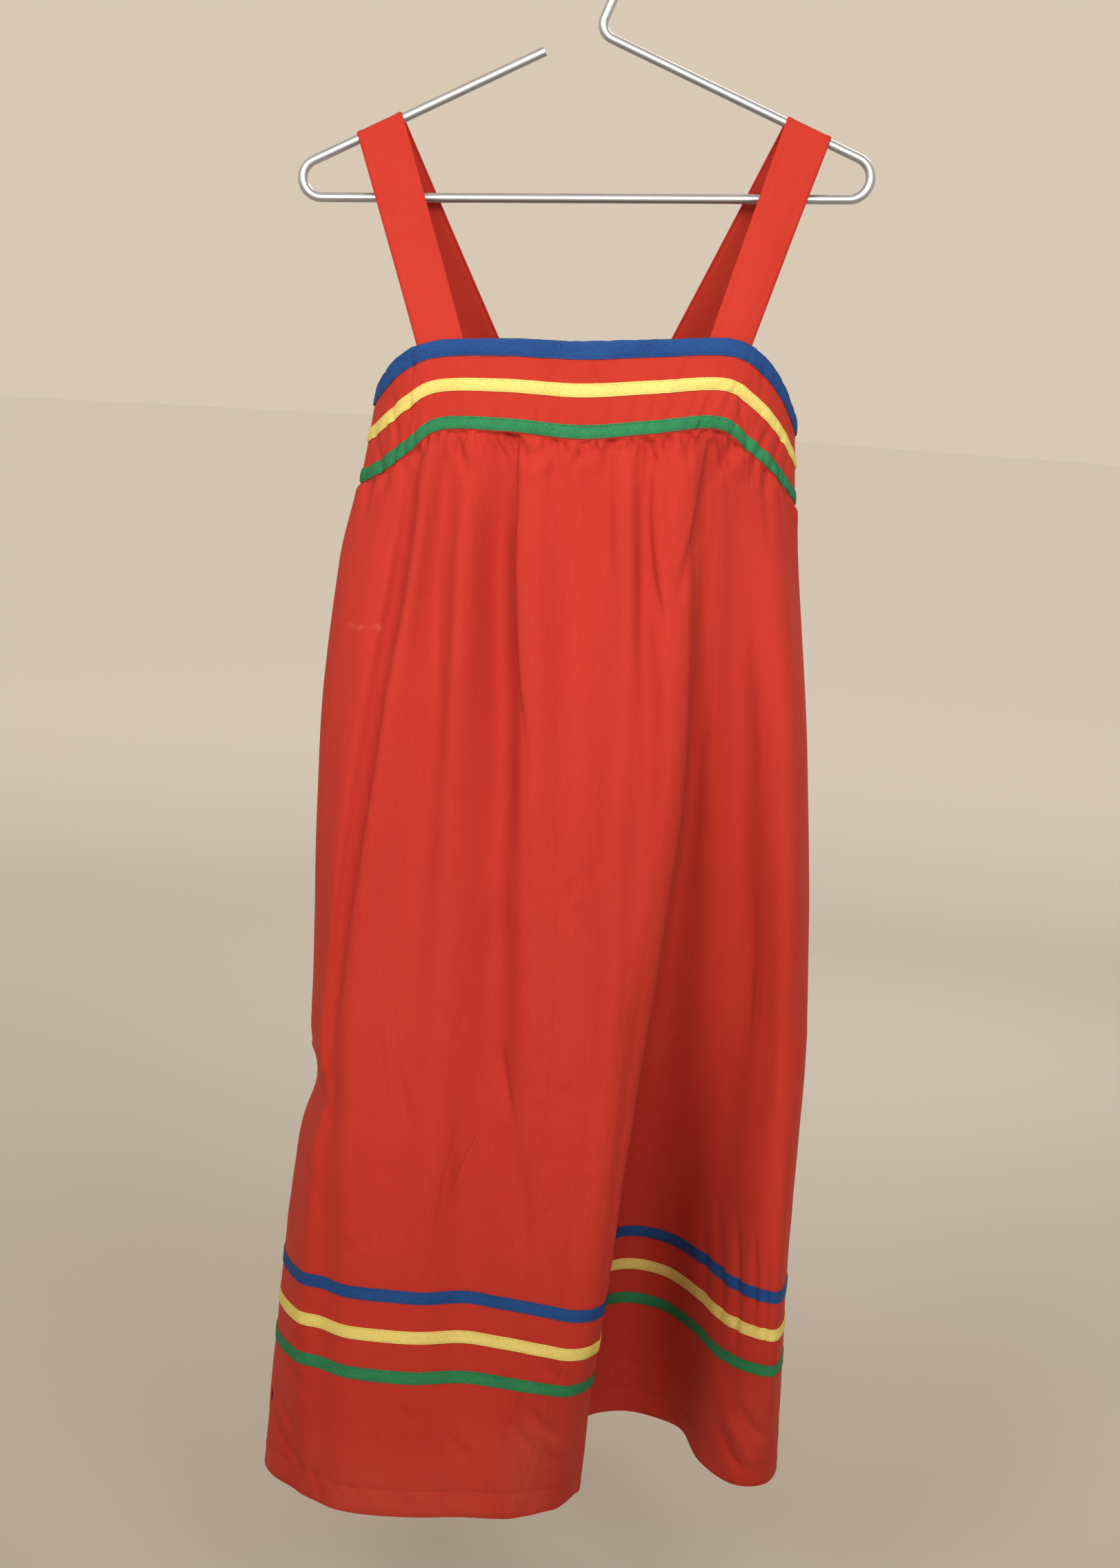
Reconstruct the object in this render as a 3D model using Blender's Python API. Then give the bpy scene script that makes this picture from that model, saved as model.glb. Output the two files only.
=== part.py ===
"""A sarafan dress on a bent wire hanger: the cloth pieces as thin walls at their real size, as they hang.

The origin is the point inside the hook that bears on a rail. X runs to the right, Y to the back and Z up.
"""

import math

import bpy
from mathutils import Vector

MM = 0.001  # every size below is in millimetres

# Thicknesses and the gap kept between two pieces
WALL = 1.5
TAPE = 0.8
STRAP = 1.4
GAP = 0.3

# Band: its height, and how far below its top edge the binding and the tapes run
BAND_HEIGHT = 70.0
BAND_YELLOW = (29.5, 39.5)
BAND_GREEN = (59.5, 69.5)
BAND_LINES = (0.0, 12.0, 29.5, 39.5, 59.5, 69.5, 70.0)

# Skirt: the heights of the fold sections, the hem and the three tapes above it
SECTIONS = (-470.0, -600.0, -810.0, -1045.0)
HEM = -1197.0
VALLEY_LIFT = 7.0  # the most that the hem rises, where it lies LIFT_OVER behind LIFT_FROM
LIFT_FROM = -20.0
LIFT_OVER = 120.0
HEM_BLUE = (-1014.7, -1024.7)
HEM_YELLOW = (-1046.5, -1056.5)
HEM_GREEN = (-1078.6, -1088.6)
HEM_TURN = 22.0
UPPER_LINES = 3  # lines between the gathers' end and the first of LOW_LINES
LOW_LINES = (-600.0, -670.0, -740.0, -810.0, -870.0, -925.0, -975.0)
FRONT_COLUMNS = 2  # columns of points for each fold
BACK_COLUMNS = 3

# Gathers: how many waves each panel has, how far a wave stands out, and where the lines across them lie
FRONT_GATHERS = 36
BACK_GATHERS = 28
GATHER_RISE = 2.0
GATHER_LINES = (8.0, 20.0, 38.0, 60.0)
GATHER_SHARES = (1.0, 0.9, 0.5, 0.2)
GATHER_END = 88.0
# How unevenly wide and high the waves are, and the beats in radians a point that vary them
WIDTH_SWAY = 0.28
WIDTH_BEATS = (2.3, 0.7)
RISE_MEAN = 0.75
RISE_SWAY = 0.35
RISE_BEAT = 1.7

# The notch low on the left outline, where a fold starts
NOTCH = {"z": -874.0, "reach": 26.0, "inward": 9.0, "from_x": -138.0, "to_x": -168.0}

# Each band station: x, y, z on the top edge, then x, y, z on the bottom edge
BAND_FRONT = (
    ("left side seam", -148, 2, -343, -157, 2, -413),
    ("left slope, low", -142, -22, -331, -140, -26, -402),
    ("left slope, high", -128, -40, -314, -119, -44, -384),
    ("left corner", -104, -51, -303, -97, -54, -366),
    ("front left", -55, -56, -298, -50, -58, -363.5),
    ("front middle", 0, -58, -296.5, 5, -60, -365.5),
    ("front right", 55, -56, -292, 55, -58, -359),
    ("right corner", 110, -50, -288.5, 103, -54, -352.5),
    ("right slope, high", 134, -38, -299, 127, -44, -367),
    ("right slope, low", 153, -20, -321, 150, -26, -386),
    ("right side seam", 164.5, 4, -347, 169, 4, -410),
)
BAND_BACK = (
    ("back right turn", 158, 26, -331, 157, 28, -400),
    ("back right slope", 134, 42, -314, 132, 46, -384),
    ("back right corner", 95, 50, -305, 92, 54, -375),
    ("back right", 45, 52, -309, 45, 57, -379),
    ("back middle", 0, 53, -312, 2, 58, -382),
    ("back left", -45, 52, -313, -42, 57, -383),
    ("back left corner", -88, 48, -312, -84, 52, -382),
    ("back left slope", -120, 38, -320, -118, 42, -390),
    ("back left turn", -140, 22, -332, -142, 24, -403),
)

# Each fold: its x at the band, then x, y on each of SECTIONS and x, y at the hem
FRONT_FOLDS = (
    ("left side seam", -157, -169, 2, -177, 0, -175, 4, -188, -4, -195, 0),
    ("left turn", -150, -163, -20, -174, -22, -172, -18, -181, -32, -187, -24),
    ("left side", -139, -150, -36, -163, -40, -166, -36, -171, -53, -170, -44),
    ("crease floor", -121, -128, -42, -136, -46, -156, -44, -160, -60, -158, -60),
    ("crease lip", -114, -119, -54, -127, -60, -147, -60, -148, -68, -149, -67),
    ("left crest", -102, -107, -62, -112, -67, -122, -71, -124, -82, -130, -81),
    ("left dip", -88, -91, -56, -84, -63, -98, -71, -98, -88, -104, -87),
    ("middle left crest", -63, -61, -66, -58, -71, -54, -76, -70, -84, -66, -86),
    ("trough floor", -43, -40, -47, -27, -52, -20, -64, -42, -77, -34, -81),
    ("trough lip", -28, -24, -67, -10, -73, 6, -82, -12, -84, -6, -78),
    ("centre dip", 10, 14, -61, 18, -67, 30, -82, 14, -95, 16, -72),
    ("centre crest", 38, 45, -69, 48, -77, 54, -88, 36, -99, 36, -56),
    ("lobe dip", 54, 58, -62, 69, -72, 64, -84, 50, -95, 46, -42),
    ("lobe crest", 72, 72, -69, 84, -77, 72, -74, 58, -84, 53, -28),
    ("lobe edge", 88, 90, -63, 97, -66, 78, -55, 63, -68, 58, -12),
    ("lobe wall", 94, 96, -54, 101, -46, 86, -25, 68, 0, 60, 50),
    ("valley left", 101, 102, -48, 105, -37, 100, 2, 77, 84, 68, 108),
    ("valley floor", 108, 108, -50, 110, -38, 127, 22, 97, 110, 94, 128),
    ("valley rib", 117, 117, -56, 120, -48, 149, 3, 122, 98, 118, 122),
    ("rib dip", 128, 129, -41, 141, -35, 159, 3, 145, 45, 140, 98),
    ("right rise", 138, 142, -41, 158, -44, 173, -19, 161, 2, 153, 46),
    ("right crest", 150, 158, -32, 174, -44, 187, -30, 180, -26, 179, 8),
    ("right corner", 160, 170, -12, 187, -26, 201, -18, 200, -34, 207, 12),
    ("right side seam", 169, 176, 6, 192, 2, 209, 6, 209, -2, 217, 45),
)
BACK_FOLDS = (
    ("right turn", 164, 173, 28, 189, 28, 206, 34, 208, 26, 214, 82),
    ("right side", 152, 160, 48, 176, 50, 193, 64, 199, 68, 206, 118),
    ("right crest", 132, 136, 62, 148, 68, 164, 94, 176, 116, 186, 150),
    ("right dip", 106, 110, 57, 120, 60, 132, 86, 143, 126, 148, 150),
    ("right middle crest", 78, 82, 66, 88, 74, 96, 102, 106, 150, 108, 168),
    ("middle dip", 48, 50, 58, 54, 62, 60, 88, 66, 136, 68, 154),
    ("middle crest", 18, 20, 67, 22, 74, 26, 102, 28, 144, 30, 160),
    ("left middle dip", -14, -14, 59, -14, 62, -14, 88, -14, 118, -14, 134),
    ("left middle crest", -44, -48, 66, -50, 74, -54, 98, -58, 124, -60, 138),
    ("left dip", -74, -80, 55, -82, 60, -88, 80, -94, 98, -98, 110),
    ("left crest", -102, -112, 57, -116, 64, -124, 82, -134, 96, -138, 106),
    ("left side", -126, -138, 42, -144, 48, -150, 60, -164, 68, -168, 74),
    ("left turn", -147, -160, 24, -168, 26, -170, 36, -184, 34, -191, 40),
)

# Straps: x of both edges where they leave the band in front, cross the hanger and reach the band behind
STRAPS = {
    "strap_left": {"front": (-118.5, -83.7), "arm": (-170.0, -138.0), "back": (-91.0, -55.0)},
    "strap_right": {"front": (94.0, 126.5), "arm": (140.0, 173.0), "back": (63.0, 97.0)},
}
STRAP_TUCK = 18.0
STRAP_ACROSS = 4
STRAP_RUNS = 5
STRAP_WRAP = 75.0  # how far round the wire it turns on each side, in degrees
STRAP_WRAP_STEPS = 3
STRAP_SLACK = 3.0  # how far a leg bows inwards

# Hanger: wire, bar, arms and bends, and the hook that the origin lies in
WIRE = 7.2
BAR_HEIGHT = -193.9
BAR_TILT = 3.28
LEFT_END = (-38.0, -91.0)
LEFT_ARM_TILT = 28.1
RIGHT_ARM_POINT = (21.5, -83.8)
RIGHT_ARM_TILT = -21.65
LEFT_BEND = 13.9
RIGHT_BEND = 15.6
NECK_BEND = 11.0
NECK_SHIFT = 11.5  # how far left of RIGHT_ARM_POINT the neck bend leaves the arm
HOOK_INSIDE = 17.0
HOOK_END = 205.0
BEND_STEP = 18.0

COLOURS = {
    "red cotton": ((0.62, 0.035, 0.02), 0.85, 0.0),
    "blue tape": ((0.02, 0.08, 0.33), 0.75, 0.0),
    "yellow tape": ((0.85, 0.68, 0.14), 0.75, 0.0),
    "green tape": ((0.02, 0.24, 0.08), 0.75, 0.0),
    "satin aluminium": ((0.75, 0.77, 0.79), 0.32, 1.0),
}


def material(name):
    colour, roughness, metallic = COLOURS[name]
    made = bpy.data.materials.get(name) or bpy.data.materials.new(name)
    made.use_nodes = True
    shader = made.node_tree.nodes["Principled BSDF"]
    shader.inputs["Base Color"].default_value = (*colour, 1.0)
    shader.inputs["Roughness"].default_value = roughness
    shader.inputs["Metallic"].default_value = metallic
    return made


def blend(a, b, share):
    return a + (b - a) * share


def on_loop(rows, place):
    """The row's values at a fractional place on a closed loop of rows, on a smooth curve through them."""
    i = math.floor(place)
    t = place - i
    before, a, b, after = (rows[(i + k) % len(rows)] for k in (-1, 0, 1, 2))
    found = []
    for p, q, r, s in zip(before, a, b, after):
        slope_a = 0.5 * (r - p)
        slope_b = 0.5 * (s - q)
        found.append(
            (2 * t**3 - 3 * t**2 + 1) * q
            + (t**3 - 2 * t**2 + t) * slope_a
            + (3 * t**2 - 2 * t**3) * r
            + (t**3 - t**2) * slope_b
        )
    return found


def on_heights(heights, values, z):
    """The value at height z on a smooth curve through values at falling heights."""
    last = len(heights) - 1
    i = 0
    while i < last - 1 and z < heights[i + 1]:
        i += 1
    slopes = []
    for k in (i, i + 1):
        low, high = max(k - 1, 0), min(k + 1, last)
        slopes.append((values[high] - values[low]) / (heights[high] - heights[low]))
    span = heights[i + 1] - heights[i]
    t = (z - heights[i]) / span
    return (
        (2 * t**3 - 3 * t**2 + 1) * values[i]
        + (t**3 - 2 * t**2 + t) * span * slopes[0]
        + (3 * t**2 - 2 * t**3) * values[i + 1]
        + (t**3 - t**2) * span * slopes[1]
    )


def strip_faces(rows, starts, places):
    """Triangles between each two neighbouring rows, also where the rows have different numbers of points."""
    faces = []
    for upper in range(len(rows) - 1):
        lower = upper + 1
        i = j = 0
        while i < len(rows[upper]) - 1 or j < len(rows[lower]) - 1:
            a = starts[upper] + i
            c = starts[lower] + j
            next_upper = places[upper][i + 1] if i < len(rows[upper]) - 1 else math.inf
            next_lower = places[lower][j + 1] if j < len(rows[lower]) - 1 else math.inf
            if next_upper <= next_lower:
                faces.append((a, c, a + 1))
                i += 1
            else:
                faces.append((a, c, c + 1))
                j += 1
    return faces


class Sheet:
    """Rows of points from the top down, each to the right as seen from outside, with their normals."""

    def __init__(self, rows, places=None):
        self.rows = rows
        self.places = places or [list(range(len(row))) for row in rows]
        self.starts = [sum(len(row) for row in rows[:i]) for i in range(len(rows))]
        points = [point for row in rows for point in row]
        faces = strip_faces(rows, self.starts, self.places)
        flat = [Vector() for point in points]
        for a, b, c in faces:
            across = (points[b] - points[a]).cross(points[c] - points[a])
            for index in (a, b, c):
                flat[index] += across
        self.normals = []
        for start, row in zip(self.starts, rows):
            self.normals.append([flat[start + k].normalized() for k in range(len(row))])


def share_seam_normals(front, back):
    """Both panels get the same normals along the two side seams, so that their edges face each other."""
    for ours, theirs in zip(front.normals, back.normals):
        for mine, other in ((0, -1), (-1, 0)):
            common = (ours[mine] + theirs[other]).normalized()
            ours[mine] = common
            theirs[other] = common


def level_rim(sheet):
    """Turns the bottom row's normals level, for the rim that faces the skirt."""
    for normal in sheet.normals[-1]:
        normal.z = 0.0
        normal.normalize()


def around(front, back, first, last):
    """A closed loop of the rows of both panels, over their side seams."""
    rows, normals = [], []
    for k in range(first, last + 1):
        rows.append(front.rows[k] + back.rows[k][1:])
        normals.append(front.normals[k] + back.normals[k][1:])
    made = Sheet(rows)
    made.normals = normals
    return made


def parted(row):
    """The row with its two ends drawn in, which leaves the gap at the side seams."""
    left = row[0] + (row[1] - row[0]).normalized() * GAP / 2
    right = row[-1] + (row[-2] - row[-1]).normalized() * GAP / 2
    return [left, *row[1:-1], right]


def add_object(name, points, faces, finish):
    mesh = bpy.data.meshes.new(name)
    mesh.from_pydata([tuple(point * MM) for point in points], [], faces)
    mesh.materials.append(material(finish))
    made = bpy.data.objects.new(name, mesh)
    bpy.context.scene.collection.objects.link(made)
    return made


def add_wall(name, sheet, outer, inner, finish, closed=False, seams=False):
    """A closed wall between two distances from the sheet's points, measured along their normals."""
    rows = [parted(row) for row in sheet.rows] if seams else sheet.rows
    index = []
    count = 0
    for row in rows:
        own = list(range(count, count + len(row) - closed))
        count += len(own)
        index += own + own[:1] * closed
    sheet_points = [point for row in rows for point in row]
    sheet_normals = [normal for row in sheet.normals for normal in row]
    points = [None] * (2 * count)
    for own, point, normal in zip(index, sheet_points, sheet_normals):
        points[own] = point + normal * outer
        points[count + own] = point + normal * inner
    skin = [tuple(index[k] for k in face) for face in strip_faces(rows, sheet.starts, sheet.places)]
    faces = skin + [(count + c, count + b, count + a) for a, b, c in skin]
    edges = {}
    for a, b, c in skin:
        for edge in ((a, b), (b, c), (c, a)):
            edges[edge] = True
    for a, b in edges:
        if (b, a) not in edges:
            faces.append((b, a, count + a, count + b))
    return add_object(name, points, faces, finish)


def band_panel(table_start, table_end):
    """One half of the band, from its top edge to its bottom edge, with a line at each of BAND_LINES."""
    loop = [station[1:] for station in BAND_FRONT + BAND_BACK]
    columns = [table_start + k / 2 for k in range(2 * (table_end - table_start) + 1)]
    rows = []
    for depth in BAND_LINES:
        row = []
        for place in columns:
            found = on_loop(loop, place)
            row.append(blend(Vector(found[:3]), Vector(found[3:]), depth / BAND_HEIGHT))
        rows.append(row)
    return Sheet(rows)


def gather_places(edge, gathers):
    """Points along the band's bottom edge at each crest and hollow of the gathers, unevenly wide."""
    lengths = [0.0]
    for a, b in zip(edge, edge[1:]):
        lengths.append(lengths[-1] + (b - a).length)
    found = []
    for k in range(2 * gathers + 1):
        sway = WIDTH_SWAY * math.sin(WIDTH_BEATS[0] * k) * math.sin(WIDTH_BEATS[1] * k)
        if k == 2 * gathers:
            sway = 0.0
        along = lengths[-1] * (k + sway) / (2 * gathers)
        i = max(n for n in range(len(edge) - 1) if lengths[n] <= along)
        found.append(blend(edge[i], edge[i + 1], (along - lengths[i]) / (lengths[i + 1] - lengths[i])))
    return found


def edge_at(edge, x):
    """The point of the band's bottom edge at x."""
    way = 1 if edge[-1].x > edge[0].x else -1
    for a, b in zip(edge, edge[1:]):
        if way * x <= way * b.x:
            return blend(a, b, max((x - a.x) / (b.x - a.x), 0.0))
    return edge[-1].copy()


def fold_place(folds, start, x):
    """The fractional place in the folds' table of an x at the band."""
    for i, (a, b) in enumerate(zip(folds, folds[1:])):
        share = (x - a[1]) / (b[1] - a[1])
        if share <= 1.0:
            return start + i + max(share, 0.0)
    return start + len(folds) - 1.0


def skirt_point(loop, folds, start, edge, place, height):
    """A point of the skirt in one column; height is given by a function of the column's top and bottom."""
    i = min(int(place - start), len(folds) - 2)
    band_x = blend(folds[i][1], folds[i + 1][1], place - start - i)
    top = edge_at(edge, band_x)
    found = on_loop(loop, place)
    lift = VALLEY_LIFT * min(max((found[-1] - LIFT_FROM) / LIFT_OVER, 0.0), 1.0)
    heights = [top.z, *SECTIONS, HEM + lift]
    z = height(top.z, HEM + lift)
    x = on_heights(heights, [top.x, *found[0::2]], z)
    y = on_heights(heights, [top.y, *found[1::2]], z)
    side = min(max((x - NOTCH["from_x"]) / (NOTCH["to_x"] - NOTCH["from_x"]), 0.0), 1.0)
    x += NOTCH["inward"] * side * math.exp(-(((z - NOTCH["z"]) / NOTCH["reach"]) ** 2))
    return Vector((x, y, z))


def skirt_heights():
    """The skirt's lines below the gathers, each as a function of a column's top and bottom height."""
    shares = [k / UPPER_LINES for k in range(UPPER_LINES)]
    upper = [lambda top, hem, share=share: blend(top - GATHER_END, LOW_LINES[0], share) for share in shares]
    tapes = [*HEM_BLUE, *HEM_YELLOW, *HEM_GREEN]
    middle = [lambda top, hem, z=z: z for z in [*LOW_LINES, *tapes]]
    ends = [
        lambda top, hem: blend(HEM_GREEN[1], hem + HEM_TURN, 0.5),
        lambda top, hem: hem + HEM_TURN,
        lambda top, hem: hem,
    ]
    return upper + middle + ends


def skirt_panel(folds, start, edge, gathers, columns_per_fold):
    """One skirt panel: gathered lines below the band, then coarser lines through the fold sections."""
    loop = [fold[2:] for fold in FRONT_FOLDS + BACK_FOLDS]
    rows = [[point - Vector((0.0, 0.0, GAP)) for point in edge]]
    places = [[fold_place(folds, start, point.x) for point in edge]]
    crests = gather_places(edge, gathers)
    fine = [fold_place(folds, start, point.x) for point in crests]
    for depth, rise in zip(GATHER_LINES, GATHER_SHARES):
        row = []
        for k, place in enumerate(fine):
            point = skirt_point(loop, folds, start, edge, place, lambda top, hem: top - depth)
            if 0 < k < len(fine) - 1:
                along = crests[k + 1] - crests[k - 1]
                out = Vector((along.y, -along.x, 0.0)).normalized()
                height = GATHER_RISE * rise * (RISE_MEAN + RISE_SWAY * math.sin(RISE_BEAT * k))
                point += out * height * (1 if k % 2 else -1)
            row.append(point)
        rows.append(row)
        places.append(fine)
    steps = columns_per_fold * (len(folds) - 1)
    columns = [start + k / columns_per_fold for k in range(steps + 1)]
    for height in skirt_heights():
        rows.append([skirt_point(loop, folds, start, edge, place, height) for place in columns])
        places.append(columns)
    return Sheet(rows, places)


def add_binding(front, back):
    """The binding, folded over the band's top edge all the way round."""
    loop = around(front, back, 0, 1)
    near, far = GAP, GAP + TAPE
    points = []
    for top, bottom, n_top, n_bottom in zip(*loop.rows, *loop.normals):
        up = (top - bottom).normalized()
        points += [
            bottom + n_bottom * far,
            bottom + n_bottom * near,
            top + n_top * near + up * near,
            top - n_top * (WALL + near) + up * near,
            bottom - n_bottom * (WALL + near),
            bottom - n_bottom * (WALL + far),
            top - n_top * (WALL + far) + up * far,
            top + n_top * far + up * far,
        ]
    sides = 8
    columns = len(loop.rows[0]) - 1
    faces = []
    for k in range(columns):
        here, after = k * sides, (k + 1) % columns * sides
        for m in range(sides):
            n = (m + 1) % sides
            faces.append((here + m, here + n, after + n, after + m))
    add_object("neck_binding", points[: columns * sides], faces, "blue tape")


def band_place(panel, x, depth):
    """The point and the normal on a band panel at x, at a depth below its top edge."""
    top, bottom = panel.rows[0], panel.rows[-1]
    way = 1 if top[-1].x > top[0].x else -1
    for k in range(len(top) - 1):
        if way * x <= way * top[k + 1].x:
            break
    share = (x - top[k].x) / (top[k + 1].x - top[k].x)
    upper = blend(top[k], top[k + 1], share)
    lower = blend(bottom[k], bottom[k + 1], share)
    normal = blend(panel.normals[0][k], panel.normals[0][k + 1], share).normalized()
    return blend(upper, lower, depth / BAND_HEIGHT), normal


def arm_line(name):
    """A point on the arm's centreline and its direction, to the right."""
    if name == "strap_left":
        start, tilt = LEFT_END, LEFT_ARM_TILT
    else:
        start, tilt = RIGHT_ARM_POINT, RIGHT_ARM_TILT
    angle = math.radians(tilt)
    return Vector((start[0], 0.0, start[1])), Vector((math.cos(angle), 0.0, math.sin(angle)))


def add_strap(name, sizes, front, back):
    """A strap's outer face, from inside the back of the band over the hanger's arm to inside the front."""
    start, along = arm_line(name)
    over = Vector((-along.z, 0.0, along.x))
    radius = WIRE / 2 + GAP + STRAP
    inset = WALL + GAP + TAPE + GAP
    shares = [k / STRAP_ACROSS for k in range(STRAP_ACROSS + 1)]

    def band_row(panel, edges, depth):
        row = []
        for share in shares:
            point, normal = band_place(panel, blend(*edges, share), depth)
            row.append(point - normal * inset)
        return row

    def arm_row(angle):
        turn = math.radians(angle)
        out = over * math.cos(turn) - Vector((0.0, 1.0, 0.0)) * math.sin(turn)
        xs = [blend(*sizes["arm"], share) for share in shares]
        return [start + along * ((x - start.x) / along.x) + out * radius for x in xs]

    def between(first, last):
        rows = []
        for k in range(1, STRAP_RUNS):
            share = k / STRAP_RUNS
            sag = Vector((0.0, STRAP_SLACK * math.sin(math.pi * share), 0.0))
            way = 1 if first[0].y + last[0].y < 0 else -1
            rows.append([blend(a, b, share) + sag * way for a, b in zip(first, last)])
        return rows

    tuck = (STRAP_TUCK, STRAP_TUCK / 2, 0.0)
    behind = [band_row(back, sizes["back"], depth) for depth in tuck]
    turns = range(-STRAP_WRAP_STEPS, STRAP_WRAP_STEPS + 1)
    wrap = [arm_row(STRAP_WRAP * turn / STRAP_WRAP_STEPS) for turn in turns]
    before = [band_row(front, sizes["front"], depth) for depth in reversed(tuck)]
    rows = behind + between(behind[-1], wrap[0]) + wrap + between(wrap[-1], before[0]) + before
    add_wall(name, Sheet(rows), 0.0, -STRAP, "red cotton")


def tangent_arc(centre, radius, first, last):
    """Points on an arc in the hanger's plane, from angle first to angle last in degrees."""
    steps = max(2, math.ceil(abs(last - first) / BEND_STEP))
    found = []
    for k in range(steps + 1):
        angle = math.radians(blend(first, last, k / steps))
        found.append((centre[0] + radius * math.cos(angle), centre[1] + radius * math.sin(angle)))
    return found


def bend_centre(point_a, tilt_a, point_b, tilt_b, radius):
    """The centre of a bend that is radius above line b and radius below line a; tilts are in degrees."""
    ta, tb = math.radians(tilt_a), math.radians(tilt_b)
    # Both lines as n . p = d, with their normals up
    na, nb = (-math.sin(ta), math.cos(ta)), (-math.sin(tb), math.cos(tb))
    da = na[0] * point_a[0] + na[1] * point_a[1] - radius
    db = nb[0] * point_b[0] + nb[1] * point_b[1] + radius
    det = na[0] * nb[1] - na[1] * nb[0]
    return (da * nb[1] - na[1] * db) / det, (na[0] * db - da * nb[0]) / det


def hanger_route():
    """The wire's centreline: left arm, bar, right arm, neck and hook, as one bent length."""
    bar = (0.0, BAR_HEIGHT)
    left = bend_centre(LEFT_END, LEFT_ARM_TILT, bar, BAR_TILT, LEFT_BEND)
    right = bend_centre(RIGHT_ARM_POINT, RIGHT_ARM_TILT, bar, BAR_TILT, RIGHT_BEND)
    # The neck bend lies above the right arm, with its centre set along the arm
    tilt = math.radians(RIGHT_ARM_TILT)
    foot = (RIGHT_ARM_POINT[0] - NECK_SHIFT, RIGHT_ARM_POINT[1] - NECK_SHIFT * math.tan(tilt))
    neck = (foot[0] - math.sin(tilt) * NECK_BEND, foot[1] + math.cos(tilt) * NECK_BEND)
    hook_radius = HOOK_INSIDE + WIRE / 2
    hook = (0.0, -HOOK_INSIDE)
    apart = math.dist(neck, hook)
    lean = math.degrees(math.atan2(hook[1] - neck[1], hook[0] - neck[0]))
    lean -= math.degrees(math.asin((NECK_BEND + hook_radius) / apart))
    return [
        LEFT_END,
        *tangent_arc(left, LEFT_BEND, LEFT_ARM_TILT + 90, BAR_TILT + 270),
        *tangent_arc(right, RIGHT_BEND, BAR_TILT - 90, RIGHT_ARM_TILT + 90),
        *tangent_arc(neck, NECK_BEND, RIGHT_ARM_TILT + 270, lean + 90),
        *tangent_arc(hook, hook_radius, lean - 90, HOOK_END),
    ]


def add_hanger():
    route = hanger_route()
    curve = bpy.data.curves.new("hanger", "CURVE")
    curve.dimensions = "3D"
    curve.bevel_depth = WIRE / 2 * MM
    curve.bevel_resolution = 3
    curve.use_fill_caps = True
    curve.materials.append(material("satin aluminium"))
    spline = curve.splines.new("POLY")
    spline.points.add(len(route) - 1)
    for point, (x, z) in zip(spline.points, route):
        point.co = (x * MM, 0.0, z * MM, 1.0)
    made = bpy.data.objects.new("hanger", curve)
    bpy.context.scene.collection.objects.link(made)


def build():
    for old in list(bpy.data.objects):
        bpy.data.objects.remove(old, do_unlink=True)

    yoke_front = band_panel(0, len(BAND_FRONT) - 1)
    yoke_back = band_panel(len(BAND_FRONT) - 1, len(BAND_FRONT + BAND_BACK))
    share_seam_normals(yoke_front, yoke_back)
    for panel in (yoke_front, yoke_back):
        level_rim(panel)
    add_wall("yoke_front", yoke_front, 0.0, -WALL, "red cotton", seams=True)
    add_wall("yoke_back", yoke_back, 0.0, -WALL, "red cotton", seams=True)
    add_binding(yoke_front, yoke_back)
    for name, lines, finish in (
        ("yoke_tape_yellow", BAND_YELLOW, "yellow tape"),
        ("yoke_tape_green", BAND_GREEN, "green tape"),
    ):
        first = BAND_LINES.index(lines[0])
        loop = around(yoke_front, yoke_back, first, first + 1)
        add_wall(name, loop, GAP + TAPE, GAP, finish, closed=True)

    right_seam = len(FRONT_FOLDS) - 1
    back_folds = (FRONT_FOLDS[-1], *BACK_FOLDS, FRONT_FOLDS[0])
    front = skirt_panel(FRONT_FOLDS, 0, yoke_front.rows[-1], FRONT_GATHERS, FRONT_COLUMNS)
    back = skirt_panel(back_folds, right_seam, yoke_back.rows[-1], BACK_GATHERS, BACK_COLUMNS)
    share_seam_normals(front, back)
    front.normals[0] = yoke_front.normals[-1]
    back.normals[0] = yoke_back.normals[-1]
    add_wall("skirt_front", front, 0.0, -WALL, "red cotton", seams=True)
    add_wall("skirt_back", back, 0.0, -WALL, "red cotton", seams=True)
    tape_row = 1 + len(GATHER_LINES) + UPPER_LINES + len(LOW_LINES)
    for name, finish in (
        ("hem_tape_blue", "blue tape"),
        ("hem_tape_yellow", "yellow tape"),
        ("hem_tape_green", "green tape"),
    ):
        loop = around(front, back, tape_row, tape_row + 1)
        add_wall(name, loop, GAP + TAPE, GAP, finish, closed=True)
        tape_row += 2

    for name, sizes in STRAPS.items():
        add_strap(name, sizes, yoke_front, yoke_back)
    add_hanger()


build()
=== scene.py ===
import math

import bpy
import numpy as np
from mathutils import Matrix, Vector


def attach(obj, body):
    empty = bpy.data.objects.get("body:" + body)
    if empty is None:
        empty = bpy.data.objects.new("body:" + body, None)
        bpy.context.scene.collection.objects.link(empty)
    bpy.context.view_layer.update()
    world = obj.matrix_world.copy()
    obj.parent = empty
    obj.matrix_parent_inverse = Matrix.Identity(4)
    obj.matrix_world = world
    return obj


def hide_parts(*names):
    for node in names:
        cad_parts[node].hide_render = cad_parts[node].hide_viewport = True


# A banded sarafan dress on its wire hanger. Cloth and wire are worked out in millimetres until a mesh
# is made; materials, camera, lights and floor are in metres.
# X runs to the right, Y to the back and Z up, from the point inside the hook that bears on a rail.

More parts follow.
